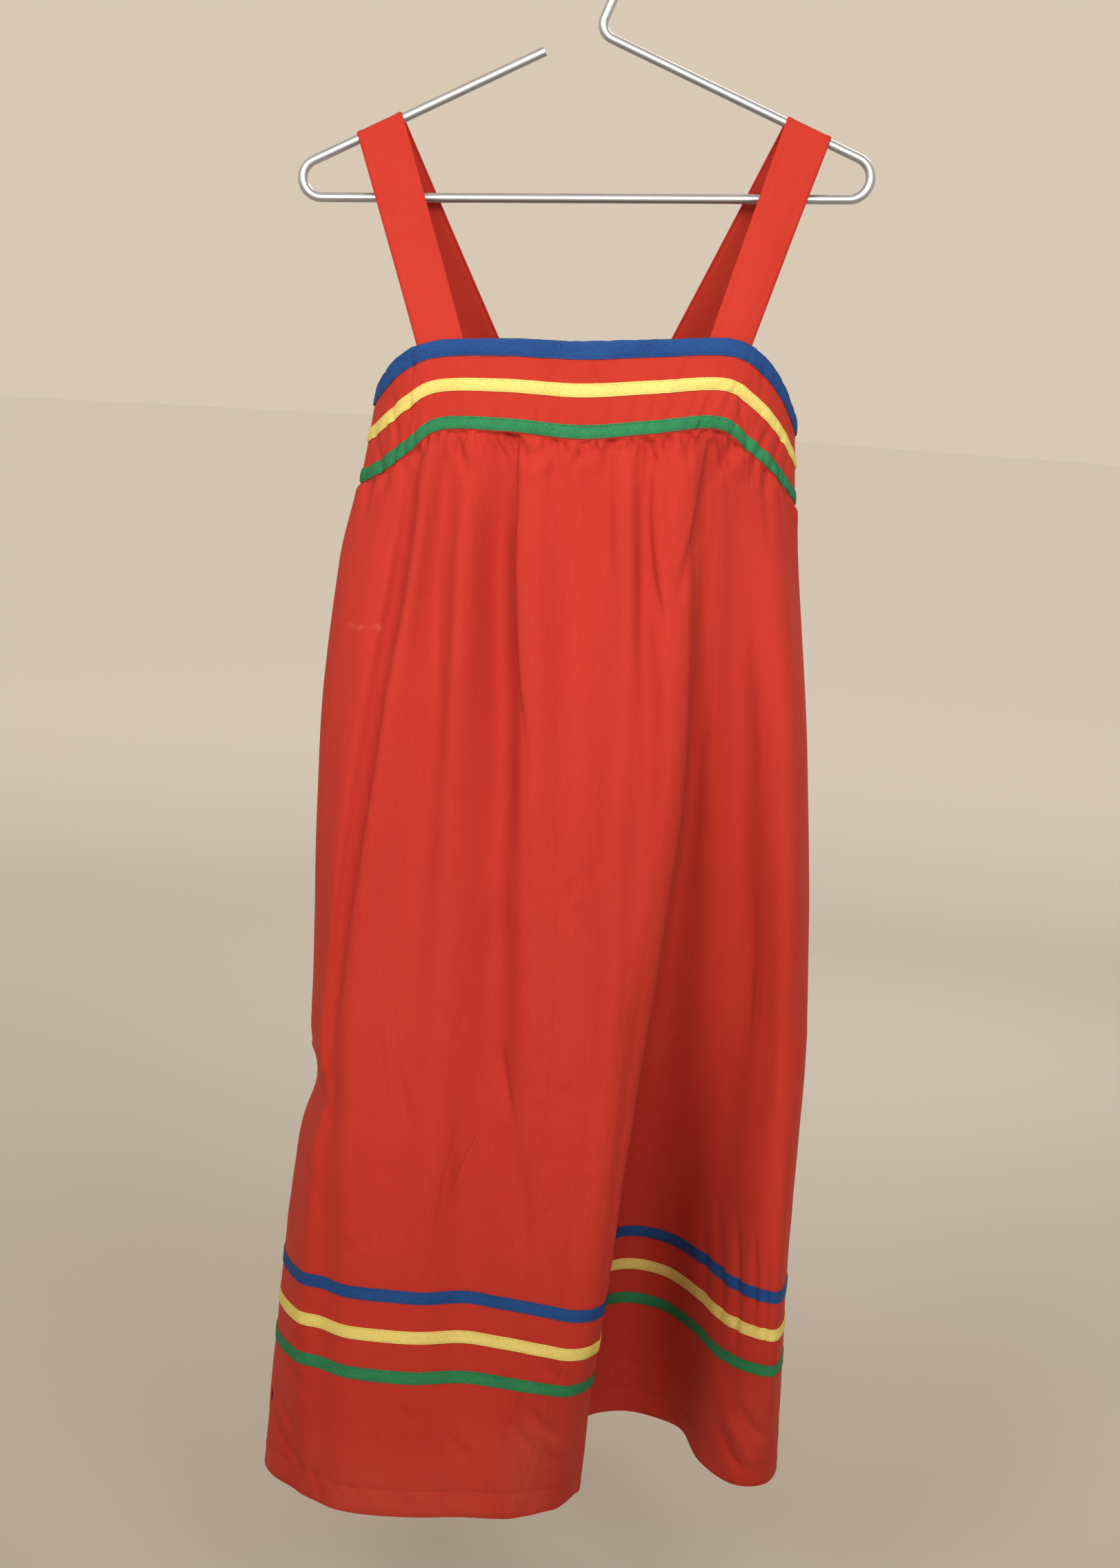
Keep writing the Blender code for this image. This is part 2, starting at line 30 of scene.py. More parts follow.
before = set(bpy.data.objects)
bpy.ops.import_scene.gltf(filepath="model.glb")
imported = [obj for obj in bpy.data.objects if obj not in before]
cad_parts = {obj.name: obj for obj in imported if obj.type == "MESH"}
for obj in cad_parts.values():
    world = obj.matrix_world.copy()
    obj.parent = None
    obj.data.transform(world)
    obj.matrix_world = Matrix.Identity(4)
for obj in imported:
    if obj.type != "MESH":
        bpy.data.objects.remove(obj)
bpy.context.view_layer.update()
mm = 0.001


# Materials

class Value:
    # A shader socket that takes part in ordinary maths
    def __init__(self, shade, out):
        self.shade, self.out = shade, out

    def maths(self, operation, *others, flip=False):
        values = [self, *others][::-1] if flip else [self, *others]
        return self.shade.node("ShaderNodeMath", {"operation": operation}, dict(enumerate(values)))

    def __add__(self, other):
        return self.maths("ADD", other)

    def __radd__(self, other):
        return self.maths("ADD", other, flip=True)

    def __sub__(self, other):
        return self.maths("SUBTRACT", other)

    def __rsub__(self, other):
        return self.maths("SUBTRACT", other, flip=True)

    def __mul__(self, other):
        return self.maths("MULTIPLY", other)

    def __pow__(self, other):
        return self.maths("POWER", other)

    def __lt__(self, other):
        return self.maths("LESS_THAN", other)

    def ramp(self, low, high):
        # 0 below low, 1 above high, soft between
        settings = {"interpolation_type": "SMOOTHSTEP"}
        return self.shade.node("ShaderNodeMapRange", settings, {"Value": self, 1: low, 2: high})


class Shade:
    # One material and its nodes
    def __init__(self, name):
        self.material = bpy.data.materials.new(name)
        self.material.use_nodes = True
        self.tree = self.material.node_tree
        self.surface = self.tree.nodes["Principled BSDF"]

    def feed(self, socket, value):
        if isinstance(value, Value):
            self.tree.links.new(value.out, socket)
        else:
            socket.default_value = value

    def node(self, kind, settings=None, inputs=None, out=0):
        made = self.tree.nodes.new(kind)
        for name, value in (settings or {}).items():
            setattr(made, name, value)
        for name, value in (inputs or {}).items():
            self.feed(made.inputs[name], value)
        return Value(self, made.outputs[out])

    def finish(self, **inputs):
        for name, value in inputs.items():
            self.feed(self.surface.inputs[name.replace("_", " ")], value)
        return self.material

    def clothPlace(self):
        # Distance across and along the cloth, in metres, from the piece's own UV map
        uv = self.node("ShaderNodeUVMap", {"uv_map": "cloth"})
        across = self.node("ShaderNodeSeparateXYZ", {}, {0: uv}, 0)
        along = self.node("ShaderNodeSeparateXYZ", {}, {0: uv}, 1)
        return across, along

    def point(self, x, y, z=0.0):
        return self.node("ShaderNodeCombineXYZ", {}, {0: x, 1: y, 2: z})

    def noise(self, place, scale, detail=2.0, roughness=0.5):
        inputs = {"Vector": place, "Scale": scale, "Detail": detail, "Roughness": roughness}
        return self.node("ShaderNodeTexNoise", {"noise_dimensions": "3D"}, inputs)

    def mix(self, share, first, second):
        inputs = {0: share, 6: first, 7: second}
        return self.node("ShaderNodeMix", {"data_type": "RGBA"}, inputs, 2)

    def bump(self, height, distance, strength=1.0, under=None):
        inputs = {"Height": height, "Distance": distance, "Strength": strength}
        if under is not None:
            inputs["Normal"] = under
        return self.node("ShaderNodeBump", {}, inputs)


def rgb(*parts):
    return (*parts, 1.0)


cotton = {
    "red": rgb(0.425, 0.028, 0.016),
    "deepRed": rgb(0.375, 0.021, 0.0115),
    "paleRed": rgb(0.47, 0.042, 0.026),
    "thread": 0.00042,  # from one thread to the next
    "weaveDepth": 0.00005,
    "slubDepth": 0.00006,
    "crinkleDepth": 0.00045,
    # A paler red that the front hem takes in patches
    "paleHem": rgb(0.45, 0.055, 0.034),
    "paleHemFrom": 1.07, "paleHemTo": 1.13, "paleHemShare": 0.5,  # metres below the hook
    "stain": rgb(0.62, 0.16, 0.12),
    "stainShare": 0.26,
    # x and z of each mark, and half its width and height
    "stains": ((-0.150, -0.5150, 0.011, 0.0030), (-0.1345, -0.5135, 0.0065, 0.0040)),
    # how many times to the metre the noises change, along and across their streaks
    "slubsLong": 45.0, "slubsFine": 1100.0,
    "sheen": 0.05, "sheenRoughness": 0.5, "sheenTint": rgb(1.0, 0.45, 0.32),
}


def weave(shade, across, along, thread):
    # Warp over weft in a plain weave
    turn = math.pi / thread
    return (across * turn).maths("SINE") * (along * turn).maths("SINE")


def makeCotton():
    shade = Shade("red cotton")
    across, along = shade.clothPlace()
    long, fine = cotton["slubsLong"], cotton["slubsFine"]
    warp = shade.noise(shade.point(across * fine, along * long), 1.0, 2.0)
    weft = shade.noise(shade.point(across * long, along * fine, 7.0), 1.0, 2.0)
    broad = shade.noise(shade.point(across * 9.0, along * 5.0, 3.0), 1.0, 3.0)
    tone = warp * 0.34 + weft * 0.26 + broad * 0.4
    colour = shade.mix(tone.ramp(0.22, 0.78), cotton["deepRed"], cotton["red"])
    colour = shade.mix(((warp + weft) * 0.5).ramp(0.56, 0.76) * 0.2, colour, cotton["paleRed"])
    place = shade.node("ShaderNodeTexCoord", {}, {}, 3)
    parts = [shade.node("ShaderNodeSeparateXYZ", {}, {0: place}, k) for k in range(3)]
    inFront = parts[1] < 0.0
    below = parts[2] * -1.0
    ragged = shade.noise(place, 260.0, 3.0)
    marks = None
    for x, z, wide, high in cotton["stains"]:
        across2 = ((parts[0] - x) * (1 / wide)) ** 2.0
        down2 = ((parts[2] - z) * (1 / high)) ** 2.0
        mark = (1.0 - (across2 + down2)).ramp(0.0, 1.0) * inFront
        marks = mark if marks is None else marks.maths("MAXIMUM", mark)
    colour = shade.mix(marks * ragged.ramp(0.30, 0.70) * cotton["stainShare"], colour, cotton["stain"])
    # Paler in patches towards the front hem, a change of colour only
    low = below.ramp(cotton["paleHemFrom"], cotton["paleHemTo"]) * inFront
    colour = shade.mix(low * broad.ramp(0.40, 0.60) * cotton["paleHemShare"], colour, cotton["paleHem"])
    # Fine creases along the contours of a slow noise, in patches, mostly low down
    drift = shade.noise(shade.point(across * 24.0 + along * 8.0, along * 6.0, 11.0), 1.0, 1.2)
    valley = 1.0 - (drift - 0.5).maths("ABSOLUTE").ramp(0.0, 0.05)
    patches = shade.noise(shade.point(across * 14.0, along * 11.0, 17.0), 1.0, 1.0).ramp(0.46, 0.60)
    lowness = 0.15 + below.ramp(0.60, 0.95) * 0.85
    crinkles = shade.bump(1.0 - valley * patches * lowness, cotton["crinkleDepth"])
    slubs = shade.bump(warp + weft, cotton["slubDepth"], under=crinkles)
    normal = shade.bump(weave(shade, across, along, cotton["thread"]), cotton["weaveDepth"], under=slubs)
    shade.surface.inputs["Sheen Weight"].default_value = cotton["sheen"]
    shade.surface.inputs["Sheen Roughness"].default_value = cotton["sheenRoughness"]
    shade.surface.inputs["Sheen Tint"].default_value = cotton["sheenTint"]
    shade.surface.inputs["Specular IOR Level"].default_value = 0.2
    return shade.finish(Base_Color=colour, Roughness=0.86 - tone * 0.12, Normal=normal)


tapes = {
    "blue": (rgb(0.008, 0.060, 0.225), rgb(0.004, 0.036, 0.155)),
    "yellow": (rgb(0.70, 0.59, 0.175), rgb(0.58, 0.46, 0.115)),
    "green": (rgb(0.020, 0.205, 0.080), rgb(0.010, 0.125, 0.048)),
    "thread": 0.00055,
    "depth": 0.00009,
}


def makeTape(name):
    light, deep = tapes[name]
    shade = Shade(name + " tape")
    across, along = shade.clothPlace()
    fine = shade.noise(shade.point(across * 1500.0, along * 350.0), 1.0, 2.0)
    broad = shade.noise(shade.point(across * 16.0, along * 60.0, 5.0), 1.0, 2.0)
    tone = fine * 0.6 + broad * 0.4
    colour = shade.mix(tone.ramp(0.34, 0.62), deep, light)
    normal = shade.bump(weave(shade, across, along, tapes["thread"]) + fine, tapes["depth"])
    shade.surface.inputs["Specular IOR Level"].default_value = 0.25
    return shade.finish(Base_Color=colour, Roughness=0.8 - fine * 0.1, Normal=normal)


def makeThread(name, colour):
    shade = Shade(name + " thread")
    place = shade.node("ShaderNodeTexCoord", {}, {}, 3)
    fine = shade.noise(place, 1800.0, 2.0)
    tint = shade.mix(fine, rgb(*[part * 0.72 for part in colour[:3]]), colour)
    return shade.finish(Base_Color=tint, Roughness=0.6 + fine * 0.2, Normal=shade.bump(fine, 0.00006))


wireFinish = {"light": rgb(0.60, 0.64, 0.68), "deep": rgb(0.43, 0.46, 0.50), "grain": 0.000004}


def makeWire():
    # Satin aluminium with a fine grain and a few dull patches
    shade = Shade("satin aluminium")
    place = shade.node("ShaderNodeTexCoord", {}, {}, 3)
    lines = shade.noise(place, 900.0, 2.0)
    dull = shade.noise(place, 45.0, 3.0)
    colour = shade.mix(dull.ramp(0.3, 0.7) * 0.6 + lines * 0.3, wireFinish["light"], wireFinish["deep"])
    rough = 0.33 + dull.ramp(0.4, 0.75) * 0.08 + lines * 0.04
    return shade.finish(
        Base_Color=colour, Metallic=1.0, Roughness=rough, Normal=shade.bump(lines, wireFinish["grain"])
    )


looks = {
    "red_cotton": makeCotton(),
    "blue_tape": makeTape("blue"),
    "yellow_tape": makeTape("yellow"),
    "green_tape": makeTape("green"),
    "wire": makeWire(),
}
threads = {
    "red_cotton": makeThread("red", rgb(0.36, 0.020, 0.012)),
    "blue_tape": makeThread("blue", rgb(0.004, 0.026, 0.110)),
    "yellow_tape": makeThread("yellow", rgb(0.46, 0.36, 0.085)),
    "green_tape": makeThread("green", rgb(0.008, 0.085, 0.032)),
}
print("materials made")


# Smooth curves through short tables

def hermite(t, start, startSlope, end, endSlope):
    return (
        (2 * t**3 - 3 * t**2 + 1) * start
        + (t**3 - 2 * t**2 + t) * startSlope
        + (3 * t**2 - 2 * t**3) * end
        + (t**3 - t**2) * endSlope
    )


def onLoop(rows, places):
    # The rows' values at fractional places on a closed loop of rows
    i = np.floor(places).astype(int)
    t = (places - i)[:, None]
    before, a, b, after = (rows[(i + k) % len(rows)] for k in (-1, 0, 1, 2))
    return hermite(t, a, 0.5 * (b - before), b, 0.5 * (after - a))


def onHeights(heights, values, z):
    # Values at heights z, from values at falling heights, column by column
    last = len(heights) - 1
    slopes = []
    for k in range(last + 1):
        low, high = max(k - 1, 0), min(k + 1, last)
        slopes.append((values[high] - values[low]) / (heights[high] - heights[low]))
    found = np.zeros(z.shape)
    for i in range(last):
        span = heights[i + 1] - heights[i]
        t = np.clip((z - heights[i]) / span, 0, 1)
        piece = hermite(t, values[i], span * slopes[i], values[i + 1], span * slopes[i + 1])
        found = np.where((z <= heights[i]) | (i == 0), piece, found)
    return found


def lengthsAlong(line):
    # How far along a line of points each of them lies
    return np.concatenate([[0.0], np.cumsum(np.linalg.norm(np.diff(line, axis=0), axis=1))])


def evenly(first, last, count, widths):
    # Fractional places from first to last, evenly spread over the length that widths gives
    fine = np.linspace(first, last, 3000)
    lengths = lengthsAlong(widths(fine))
    return np.interp(np.linspace(0, lengths[-1], count + 1), lengths, fine)


def softStep(t):
    t = np.clip(t, 0, 1)
    return t * t * (3 - 2 * t)


def softNoise(u, v, seed):
    # Smooth random hills of about 1 in size
    grid = np.random.default_rng(seed).uniform(-1, 1, (64, 64))
    i, j = np.floor(u).astype(int), np.floor(v).astype(int)
    s, t = softStep(u - i), softStep(v - j)
    top = grid[i % 64, j % 64] * (1 - s) + grid[(i + 1) % 64, j % 64] * s
    low = grid[i % 64, (j + 1) % 64] * (1 - s) + grid[(i + 1) % 64, (j + 1) % 64] * s
    return top * (1 - t) + low * t


def outwards(points, closed):
    # Unit normals of a grid of points whose rows run to the right as seen from outside, top row first
    if closed:
        ring = np.concatenate([points[:, -2:-1], points, points[:, 1:2]], axis=1)
        alongRow = ring[:, 2:] - ring[:, :-2]
    else:
        alongRow = np.gradient(points, axis=1)
    down = np.gradient(points, axis=0)
    normals = np.cross(down, alongRow)
    return normals / np.linalg.norm(normals, axis=2, keepdims=True)


# Creases: each is a soft trough (depth above 0) or ridge (below 0) along a path of x and z

def crease(x, z, depth, left, right, path, fade):
    # left and right are how wide it is on either side of the path, fade the shares of its length that fade
    knots = np.array(path, float)
    ring = np.vstack([2 * knots[0] - knots[1], knots, 2 * knots[-1] - knots[-2]])
    places = np.linspace(1, len(knots), 6 * (len(knots) - 1) + 1)[:-1]
    line = np.vstack([onLoop(ring, places), knots[-1]])
    reach = 3 * max(left, right)
    near = (x > line[:, 0].min() - reach) & (x < line[:, 0].max() + reach)
    near &= (z > line[:, 1].min() - reach) & (z < line[:, 1].max() + reach)
    found = np.zeros(x.shape)
    if not near.any():
        return found
    px, pz = x[near], z[near]
    best = np.full(px.shape, 1e9)
    side, share = np.zeros(px.shape), np.zeros(px.shape)
    lengths = lengthsAlong(line)
    for k in range(len(line) - 1):
        step = line[k + 1] - line[k]
        size = lengths[k + 1] - lengths[k]
        t = np.clip(((px - line[k, 0]) * step[0] + (pz - line[k, 1]) * step[1]) / size**2, 0, 1)
        dx, dz = px - line[k, 0] - t * step[0], pz - line[k, 1] - t * step[1]
        away = np.hypot(dx, dz)
        closer = away < best
        best = np.where(closer, away, best)
        side = np.where(closer, step[0] * (pz - line[k, 1]) - step[1] * (px - line[k, 0]), side)
        share = np.where(closer, (lengths[k] + t * size) / lengths[-1], share)
    width = np.where(side > 0, right, left)
    ends = softStep(share / fade[0]) * softStep((1 - share) / fade[1])
    found[near] = -depth * ends * np.exp(-((best / width) ** 2))
    return found


# Meshes from grids of points

def meshFromGrid(name, points, uv, closed, look):
    # One sheet of quads; points and uv are rows by columns, and a closed grid repeats its first column
    rows, columns = points.shape[:2]
    own = columns - 1 if closed else columns
    index = np.arange(rows)[:, None] * own + np.arange(columns)[None, :] % own
    a, b, c, d = index[:-1, :-1], index[1:, :-1], index[1:, 1:], index[:-1, 1:]
    faces = np.stack([a, b, c, d], axis=2).reshape(-1, 4)
    corners = np.stack([uv[:-1, :-1], uv[1:, :-1], uv[1:, 1:], uv[:-1, 1:]], axis=2).reshape(-1, 2)
    mesh = bpy.data.meshes.new(name)
    mesh.from_pydata((points[:, :own].reshape(-1, 3) * mm).tolist(), [], faces.tolist())
    layer = mesh.uv_layers.new(name="cloth")
    layer.data.foreach_set("uv", (corners * mm).astype(np.float32).ravel())
    mesh.materials.append(look)
    mesh.polygons.foreach_set("use_smooth", [True] * len(mesh.polygons))
    mesh.update()
    made = bpy.data.objects.new(name, mesh)
    bpy.context.scene.collection.objects.link(made)
    return made


def chooseOnly(piece):
    bpy.ops.object.select_all(action="DESELECT")
    piece.select_set(True)
    bpy.context.view_layer.objects.active = piece


def thicken(piece, thickness):
    # The grid stays the outer face, and the wall grows inwards
    chooseOnly(piece)
    wall = piece.modifiers.new("wall", "SOLIDIFY")
    wall.thickness = thickness * mm
    wall.offset = -1.0
    wall.use_even_offset = False
    wall.use_rim = True
    bpy.ops.object.modifier_apply(modifier="wall")
    bpy.ops.object.shade_smooth_by_angle(angle=math.radians(55))
    return piece


def gridLengths(points):
    # Distance across and down a grid, for the weave
    across = np.zeros(points.shape[:2])
    middle = np.linalg.norm(np.diff(points, axis=1), axis=2).mean(axis=0)
    across[:, 1:] = np.cumsum(middle)
    down = np.zeros(points.shape[:2])
    down[1:] = np.cumsum(np.linalg.norm(np.diff(points, axis=0), axis=2), axis=0)
    return np.stack([across, down], axis=2)


def makePanels(names, points, seam, thickness):
    # A grid all round, cut into a front and a back panel that share the column at the right seam
    uv = gridLengths(points)
    pieces = []
    for name, first, last in zip(names, (0, seam), (seam + 1, points.shape[1])):
        piece = meshFromGrid(name, points[:, first:last], uv[:, first:last], False, looks["red_cotton"])
        pieces.append(thicken(piece, thickness))
    return pieces


# The band's form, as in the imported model, and the skirt's, with some of its folds moved from there

bandStations = np.array([
    # x, y, z on the top edge, then on the bottom edge, from the left seam round the front
    (-148, 2, -343, -157, 2, -413),
    (-142, -22, -331, -140, -26, -402),
    (-128, -40, -314, -119, -44, -384),
    (-104, -51, -303, -97, -54, -366),
    (-55, -56, -298, -50, -58, -363.5),
    (0, -58, -296.5, 5, -60, -365.5),
    (55, -56, -292, 55, -58, -359),
    (110, -50, -288.5, 103, -54, -352.5),
    (134, -38, -299, 127, -44, -367),
    (153, -20, -321, 150, -26, -386),
    (164.5, 4, -347, 169, 4, -410),
    # from the right seam round the back
    (158, 26, -331, 157, 28, -400),
    (134, 42, -314, 132, 46, -384),
    (95, 50, -305, 92, 54, -375),
    (45, 52, -309, 45, 57, -379),
    (0, 53, -312, 2, 58, -382),
    (-45, 52, -313, -42, 57, -383),
    (-88, 48, -312, -84, 52, -382),
    (-120, 38, -320, -118, 42, -390),
    (-140, 22, -332, -142, 24, -403),
], float)

folds = np.array([
    # x at the band, then x and y at each of the skirt's heights and at the hem, round the front
    (-157, -169, 2, -177, 0, -175, 4, -188, -4, -195, 0),
    (-150, -163, -20, -174, -22, -172, -18, -181, -32, -187, -24),
    (-139, -150, -36, -163, -40, -166, -36, -171, -53, -170, -44),
    (-124, -131, -49, -149, -52, -163, -50, -163, -61, -158, -60),
    (-114, -119, -49, -136, -53, -153, -54, -150, -66, -149, -67),
    (-105, -111, -61, -126, -67, -140, -68, -130, -81, -130, -81),
    (-90, -94, -55, -92, -62, -100, -70, -98, -86, -104, -87),
    (-74, -77, -66, -73, -72, -70, -78, -73, -86, -66, -86),
    (-50, -49, -52, -40, -57, -36, -66, -42, -77, -34, -81),
    (-38, -35, -66, -22, -75, -10, -80, -14, -84, -6, -79),
    (6, 10, -61, 16, -68, 26, -80, 14, -93, 16, -72),
    (38, 45, -69, 48, -77, 54, -88, 36, -99, 36, -56),
    (54, 58, -62, 69, -72, 64, -84, 50, -95, 46, -42),
    (72, 72, -69, 84, -77, 72, -74, 58, -84, 53, -28),
    (88, 90, -63, 96, -67, 82, -58, 63, -68, 58, -12),
    (94, 96, -54, 98, -50, 82, -24, 61, 0, 54, 50),
    (101, 102, -48, 101, -37, 86, 8, 65, 80, 60, 106),
    (108, 108, -50, 109, -33, 101, 22, 88, 106, 88, 126),
    (117, 117, -51, 121, -37, 128, 12, 120, 92, 116, 120),
    (128, 130, -44, 143, -33, 155, 2, 145, 45, 140, 98),
    (138, 142, -41, 158, -44, 173, -19, 161, 2, 153, 46),
    (150, 158, -32, 174, -44, 187, -30, 180, -26, 179, 8),
    (160, 170, -12, 187, -26, 201, -18, 200, -34, 207, 12),
    (169, 176, 6, 192, 2, 209, 6, 209, -2, 217, 45),
    # round the back, from the right seam
    (164, 173, 28, 189, 28, 206, 34, 208, 26, 214, 82),
    (152, 160, 48, 176, 50, 193, 64, 199, 68, 206, 118),
    (132, 136, 62, 148, 68, 164, 94, 176, 116, 186, 150),
    (106, 110, 57, 120, 60, 132, 86, 143, 126, 148, 150),
    (78, 82, 66, 88, 74, 96, 102, 106, 150, 108, 168),
    (48, 50, 58, 54, 62, 60, 88, 66, 136, 68, 154),
    (18, 20, 67, 22, 74, 26, 102, 28, 144, 30, 160),
    (-14, -14, 59, -14, 62, -14, 88, -14, 118, -14, 134),
    (-44, -48, 66, -50, 74, -54, 98, -58, 124, -60, 138),
    (-74, -80, 55, -82, 60, -88, 80, -94, 98, -98, 110),
    (-102, -112, 57, -116, 64, -124, 82, -134, 96, -138, 106),
    (-126, -138, 42, -144, 48, -150, 60, -164, 68, -168, 74),
    (-147, -160, 24, -168, 26, -170, 36, -184, 34, -191, 40),
], float)

bandForm = {"height": 70.0, "frontStations": 10, "stations": 20}
skirtForm = {
    "frontFolds": 23,  # the right seam's row
    "folds": 37,
    "heights": (-470.0, -600.0, -810.0, -1045.0),
    "hem": -1197.0,
    "lift": 7.0, "liftFrom": -20.0, "liftOver": 120.0,
    "notch": {"z": -874.0, "reach": 26.0, "inward": 9.0, "fromX": -138.0, "toX": -168.0},
    "gap": 0.3,
}


def bandEdge(bandX, places):
    # The band's bottom edge at the x that each column has there, and how far along the edge it is
    found = np.zeros((len(places), 4))
    half = bandForm["frontStations"]
    length = 0.0
    for first, last, chosen in (
        (0, half, places <= skirtForm["frontFolds"]),
        (half, bandForm["stations"], places > skirtForm["frontFolds"]),
    ):
        edge = onLoop(bandStations[:, 3:], np.linspace(first, last, 1200))
        along = length + lengthsAlong(edge)
        length = along[-1]
        way = 1 if last == half else -1
        for k, values in enumerate((*edge.T, along)):
            found[chosen, k] = np.interp(way * bandX[chosen], way * edge[:, 0], values)
    return found


class SkirtShape:
    # The skirt's plain folded form over columns of fractional fold numbers
    def __init__(self, places):
        self.places = places
        i = np.floor(places).astype(int)
        onBand = np.append(folds[:, 0], folds[0, 0])
        last = skirtForm["folds"]
        share = places - i
        self.bandX = onBand[np.minimum(i, last)] * (1 - share) + onBand[np.minimum(i + 1, last)] * share
        edge = bandEdge(self.bandX, places)
        self.top, self.along = edge[:, :3], edge[:, 3]
        self.form = onLoop(folds[:, 1:], places)
        rise = (self.form[:, -1] - skirtForm["liftFrom"]) / skirtForm["liftOver"]
        self.hem = skirtForm["hem"] + skirtForm["lift"] * np.clip(rise, 0, 1)

    def points(self, z):
        columns = np.ones(len(self.places))
        heights = [self.top[:, 2], *[height * columns for height in skirtForm["heights"]], self.hem]
        inside = np.clip(z, self.hem, self.top[:, 2])
        x = onHeights(heights, [self.top[:, 0], *self.form[:, 0::2].T], inside)
        y = onHeights(heights, [self.top[:, 1], *self.form[:, 1::2].T], inside)
        notch = skirtForm["notch"]
        side = np.clip((x - notch["fromX"]) / (notch["toX"] - notch["fromX"]), 0, 1)
        x = x + notch["inward"] * side * np.exp(-(((z - notch["z"]) / notch["reach"]) ** 2))
        return np.stack([x, y, z], axis=2)


# The band's cloth

def fineWaves(along, down, seed, narrow=4.6, wide=9.5, reach=16):
    # Small uneven gathers along the edge, each fading over its own length
    random = np.random.default_rng(seed)
    starts = [0.0]
    while starts[-1] < along.max() + wide:
        starts.append(starts[-1] + random.uniform(narrow, wide))
    starts = np.array(starts)
    rises = random.uniform(0.9, 3.0, len(starts))
    reaches = 4 + reach * random.uniform(0, 1, len(starts)) ** 2
    k = np.clip(np.searchsorted(starts, along, side="right") - 1, 0, len(starts) - 2)
    phase = np.clip((along - starts[k]) / (starts[k + 1] - starts[k]), 0, 1)
    wave = np.sin(math.pi * phase) ** 0.6 - 0.75
    fade = softStep((down + 2.0) / 5.0) * np.exp(-np.maximum(down - 4, 0) / reaches[k])
    return wave * rises[k] * fade


bandCloth = {
    "thick": 0.8, "frontColumns": 260, "backColumns": 240, "rows": 40, "seamGroove": 0.6, "seamWidth": 1.6,
}
bandTapes = {"yellow": (29.5, 39.5), "green": (59.5, 69.5)}
# Puckers rise from the upper size to the lower one between two depths, and lean as they rise
bandPuckers = {"upper": 0.15, "lower": 0.55, "from": 26, "over": 35, "lean": 0.25, "uneven": 0.35}
# Short slanting wrinkles: how many, and the least and most of each of their sizes
bandWrinkles = {
    "count": 80, "seed": 31,
    "depth": (12, 66), "lean": (-0.5, 0.5), "length": (6, 20), "height": (-2.2, 1.0), "width": (2.0, 4.2),
}


def seamGroove(along, total, half, depth, width):
    # The side seams draw in
    near = np.minimum(np.minimum(along, total - along), abs(along - half))
    return depth * np.exp(-((near / width) ** 2))


def bandRelief(along, depth, total, half):
    low = softStep((depth - bandPuckers["from"]) / bandPuckers["over"])
    leaning = along + bandPuckers["lean"] * (depth - 50)
    relief = (bandPuckers["upper"] + bandPuckers["lower"] * low) * fineWaves(leaning, 4 + 0 * depth, 5, 9, 20)
    random = np.random.default_rng(bandWrinkles["seed"])
    for _ in range(bandWrinkles["count"]):
        s0 = random.uniform(0, total)
        d0, lean, length, height, width = (
            random.uniform(*bandWrinkles[size]) for size in ("depth", "lean", "length", "height", "width")
        )
        away = along - s0 - lean * (depth - d0)
        relief = relief + height * np.exp(-((away / width) ** 2) - ((depth - d0) / length) ** 2)
    relief = relief + bandPuckers["uneven"] * softNoise(along / 17, depth / 30, 32)
    return relief - seamGroove(along, total, half, bandCloth["seamGroove"], bandCloth["seamWidth"])


def makeBand():
    half, whole = bandForm["frontStations"], bandForm["stations"]
    height = bandForm["height"]

    def stationsAt(places):
        return onLoop(bandStations, places)

    stations = stationsAt(np.concatenate([
        evenly(0, half, bandCloth["frontColumns"], stationsAt),
        evenly(half, whole, bandCloth["backColumns"], stationsAt)[1:],
    ]))
    edges = [0.0, *[edge for tape in bandTapes.values() for edge in tape], height]
    depths = [0.0]
    for a, b in zip(edges, edges[1:]):
        steps = max(1, round((b - a) / height * bandCloth["rows"]))
        depths += list(np.linspace(a, b, steps + 1)[1:])
    depths = np.array(depths)[:, None]
    plain = stations[None, :, :3] + (stations[:, 3:] - stations[:, :3])[None] * (depths / height)[:, :, None]
    normals = outwards(plain, True)
    along = lengthsAlong(plain[len(depths) // 2])
    columns = bandCloth["frontColumns"]
    relief = bandRelief(along[None, :], depths, along[-1], along[columns])
    points = plain + normals * relief[:, :, None]
    pieces = makePanels(("bandFront", "bandBack"), points, columns, bandCloth["thick"])
    lowerEdge = lengthsAlong(plain[-1]), relief[-1]
    return depths[:, 0], points, along, lowerEdge, pieces


bandDepths, bandPoints, bandAlong, bandLowerEdge, bandPieces = makeBand()


# The skirt's cloth

skirtCloth = {
    "thick": 0.5,
    "frontColumns": 290,
    "backColumns": 250,
    "sewn": 2.4,  # how far down the first rows take to leave the band's relief
    "tapes": {"blue": (-1014.7, -1024.7), "yellow": (-1046.5, -1056.5), "green": (-1078.6, -1088.6)},
    "gatherEnd": 88.0,
    "foldsFrom": -600.0,
    "rowStep": 5.8,
    "hemTurn": 21.0,
    "turnOffset": 1.1,
    # rows turned up inside the hem: height over its edge, and share of the offset
    "turnUp": ((-0.35, 0.2), (-0.35, 0.8), (0.0, 1.0), (4, 1.0), (12, 1.0), (20, 1.0)),
    "puff": 2.2, "puffReach": 30.0,
    "gatherDepth": 2.0, "gatherLeast": 9.0, "gatherShare": 0.26, "gatherLean": 0.45,
    "streaks": 0.5, "hills": 0.9, "unevenOver": 60,
    "crumples": 0.35, "crumplesFrom": 250, "crumplesOver": 200,
    "seamGroove": 0.7, "seamWidth": 1.6,
    "hemWave": 1.0, "hemLine": 0.45, "hemLineWidth": 1.3,
}

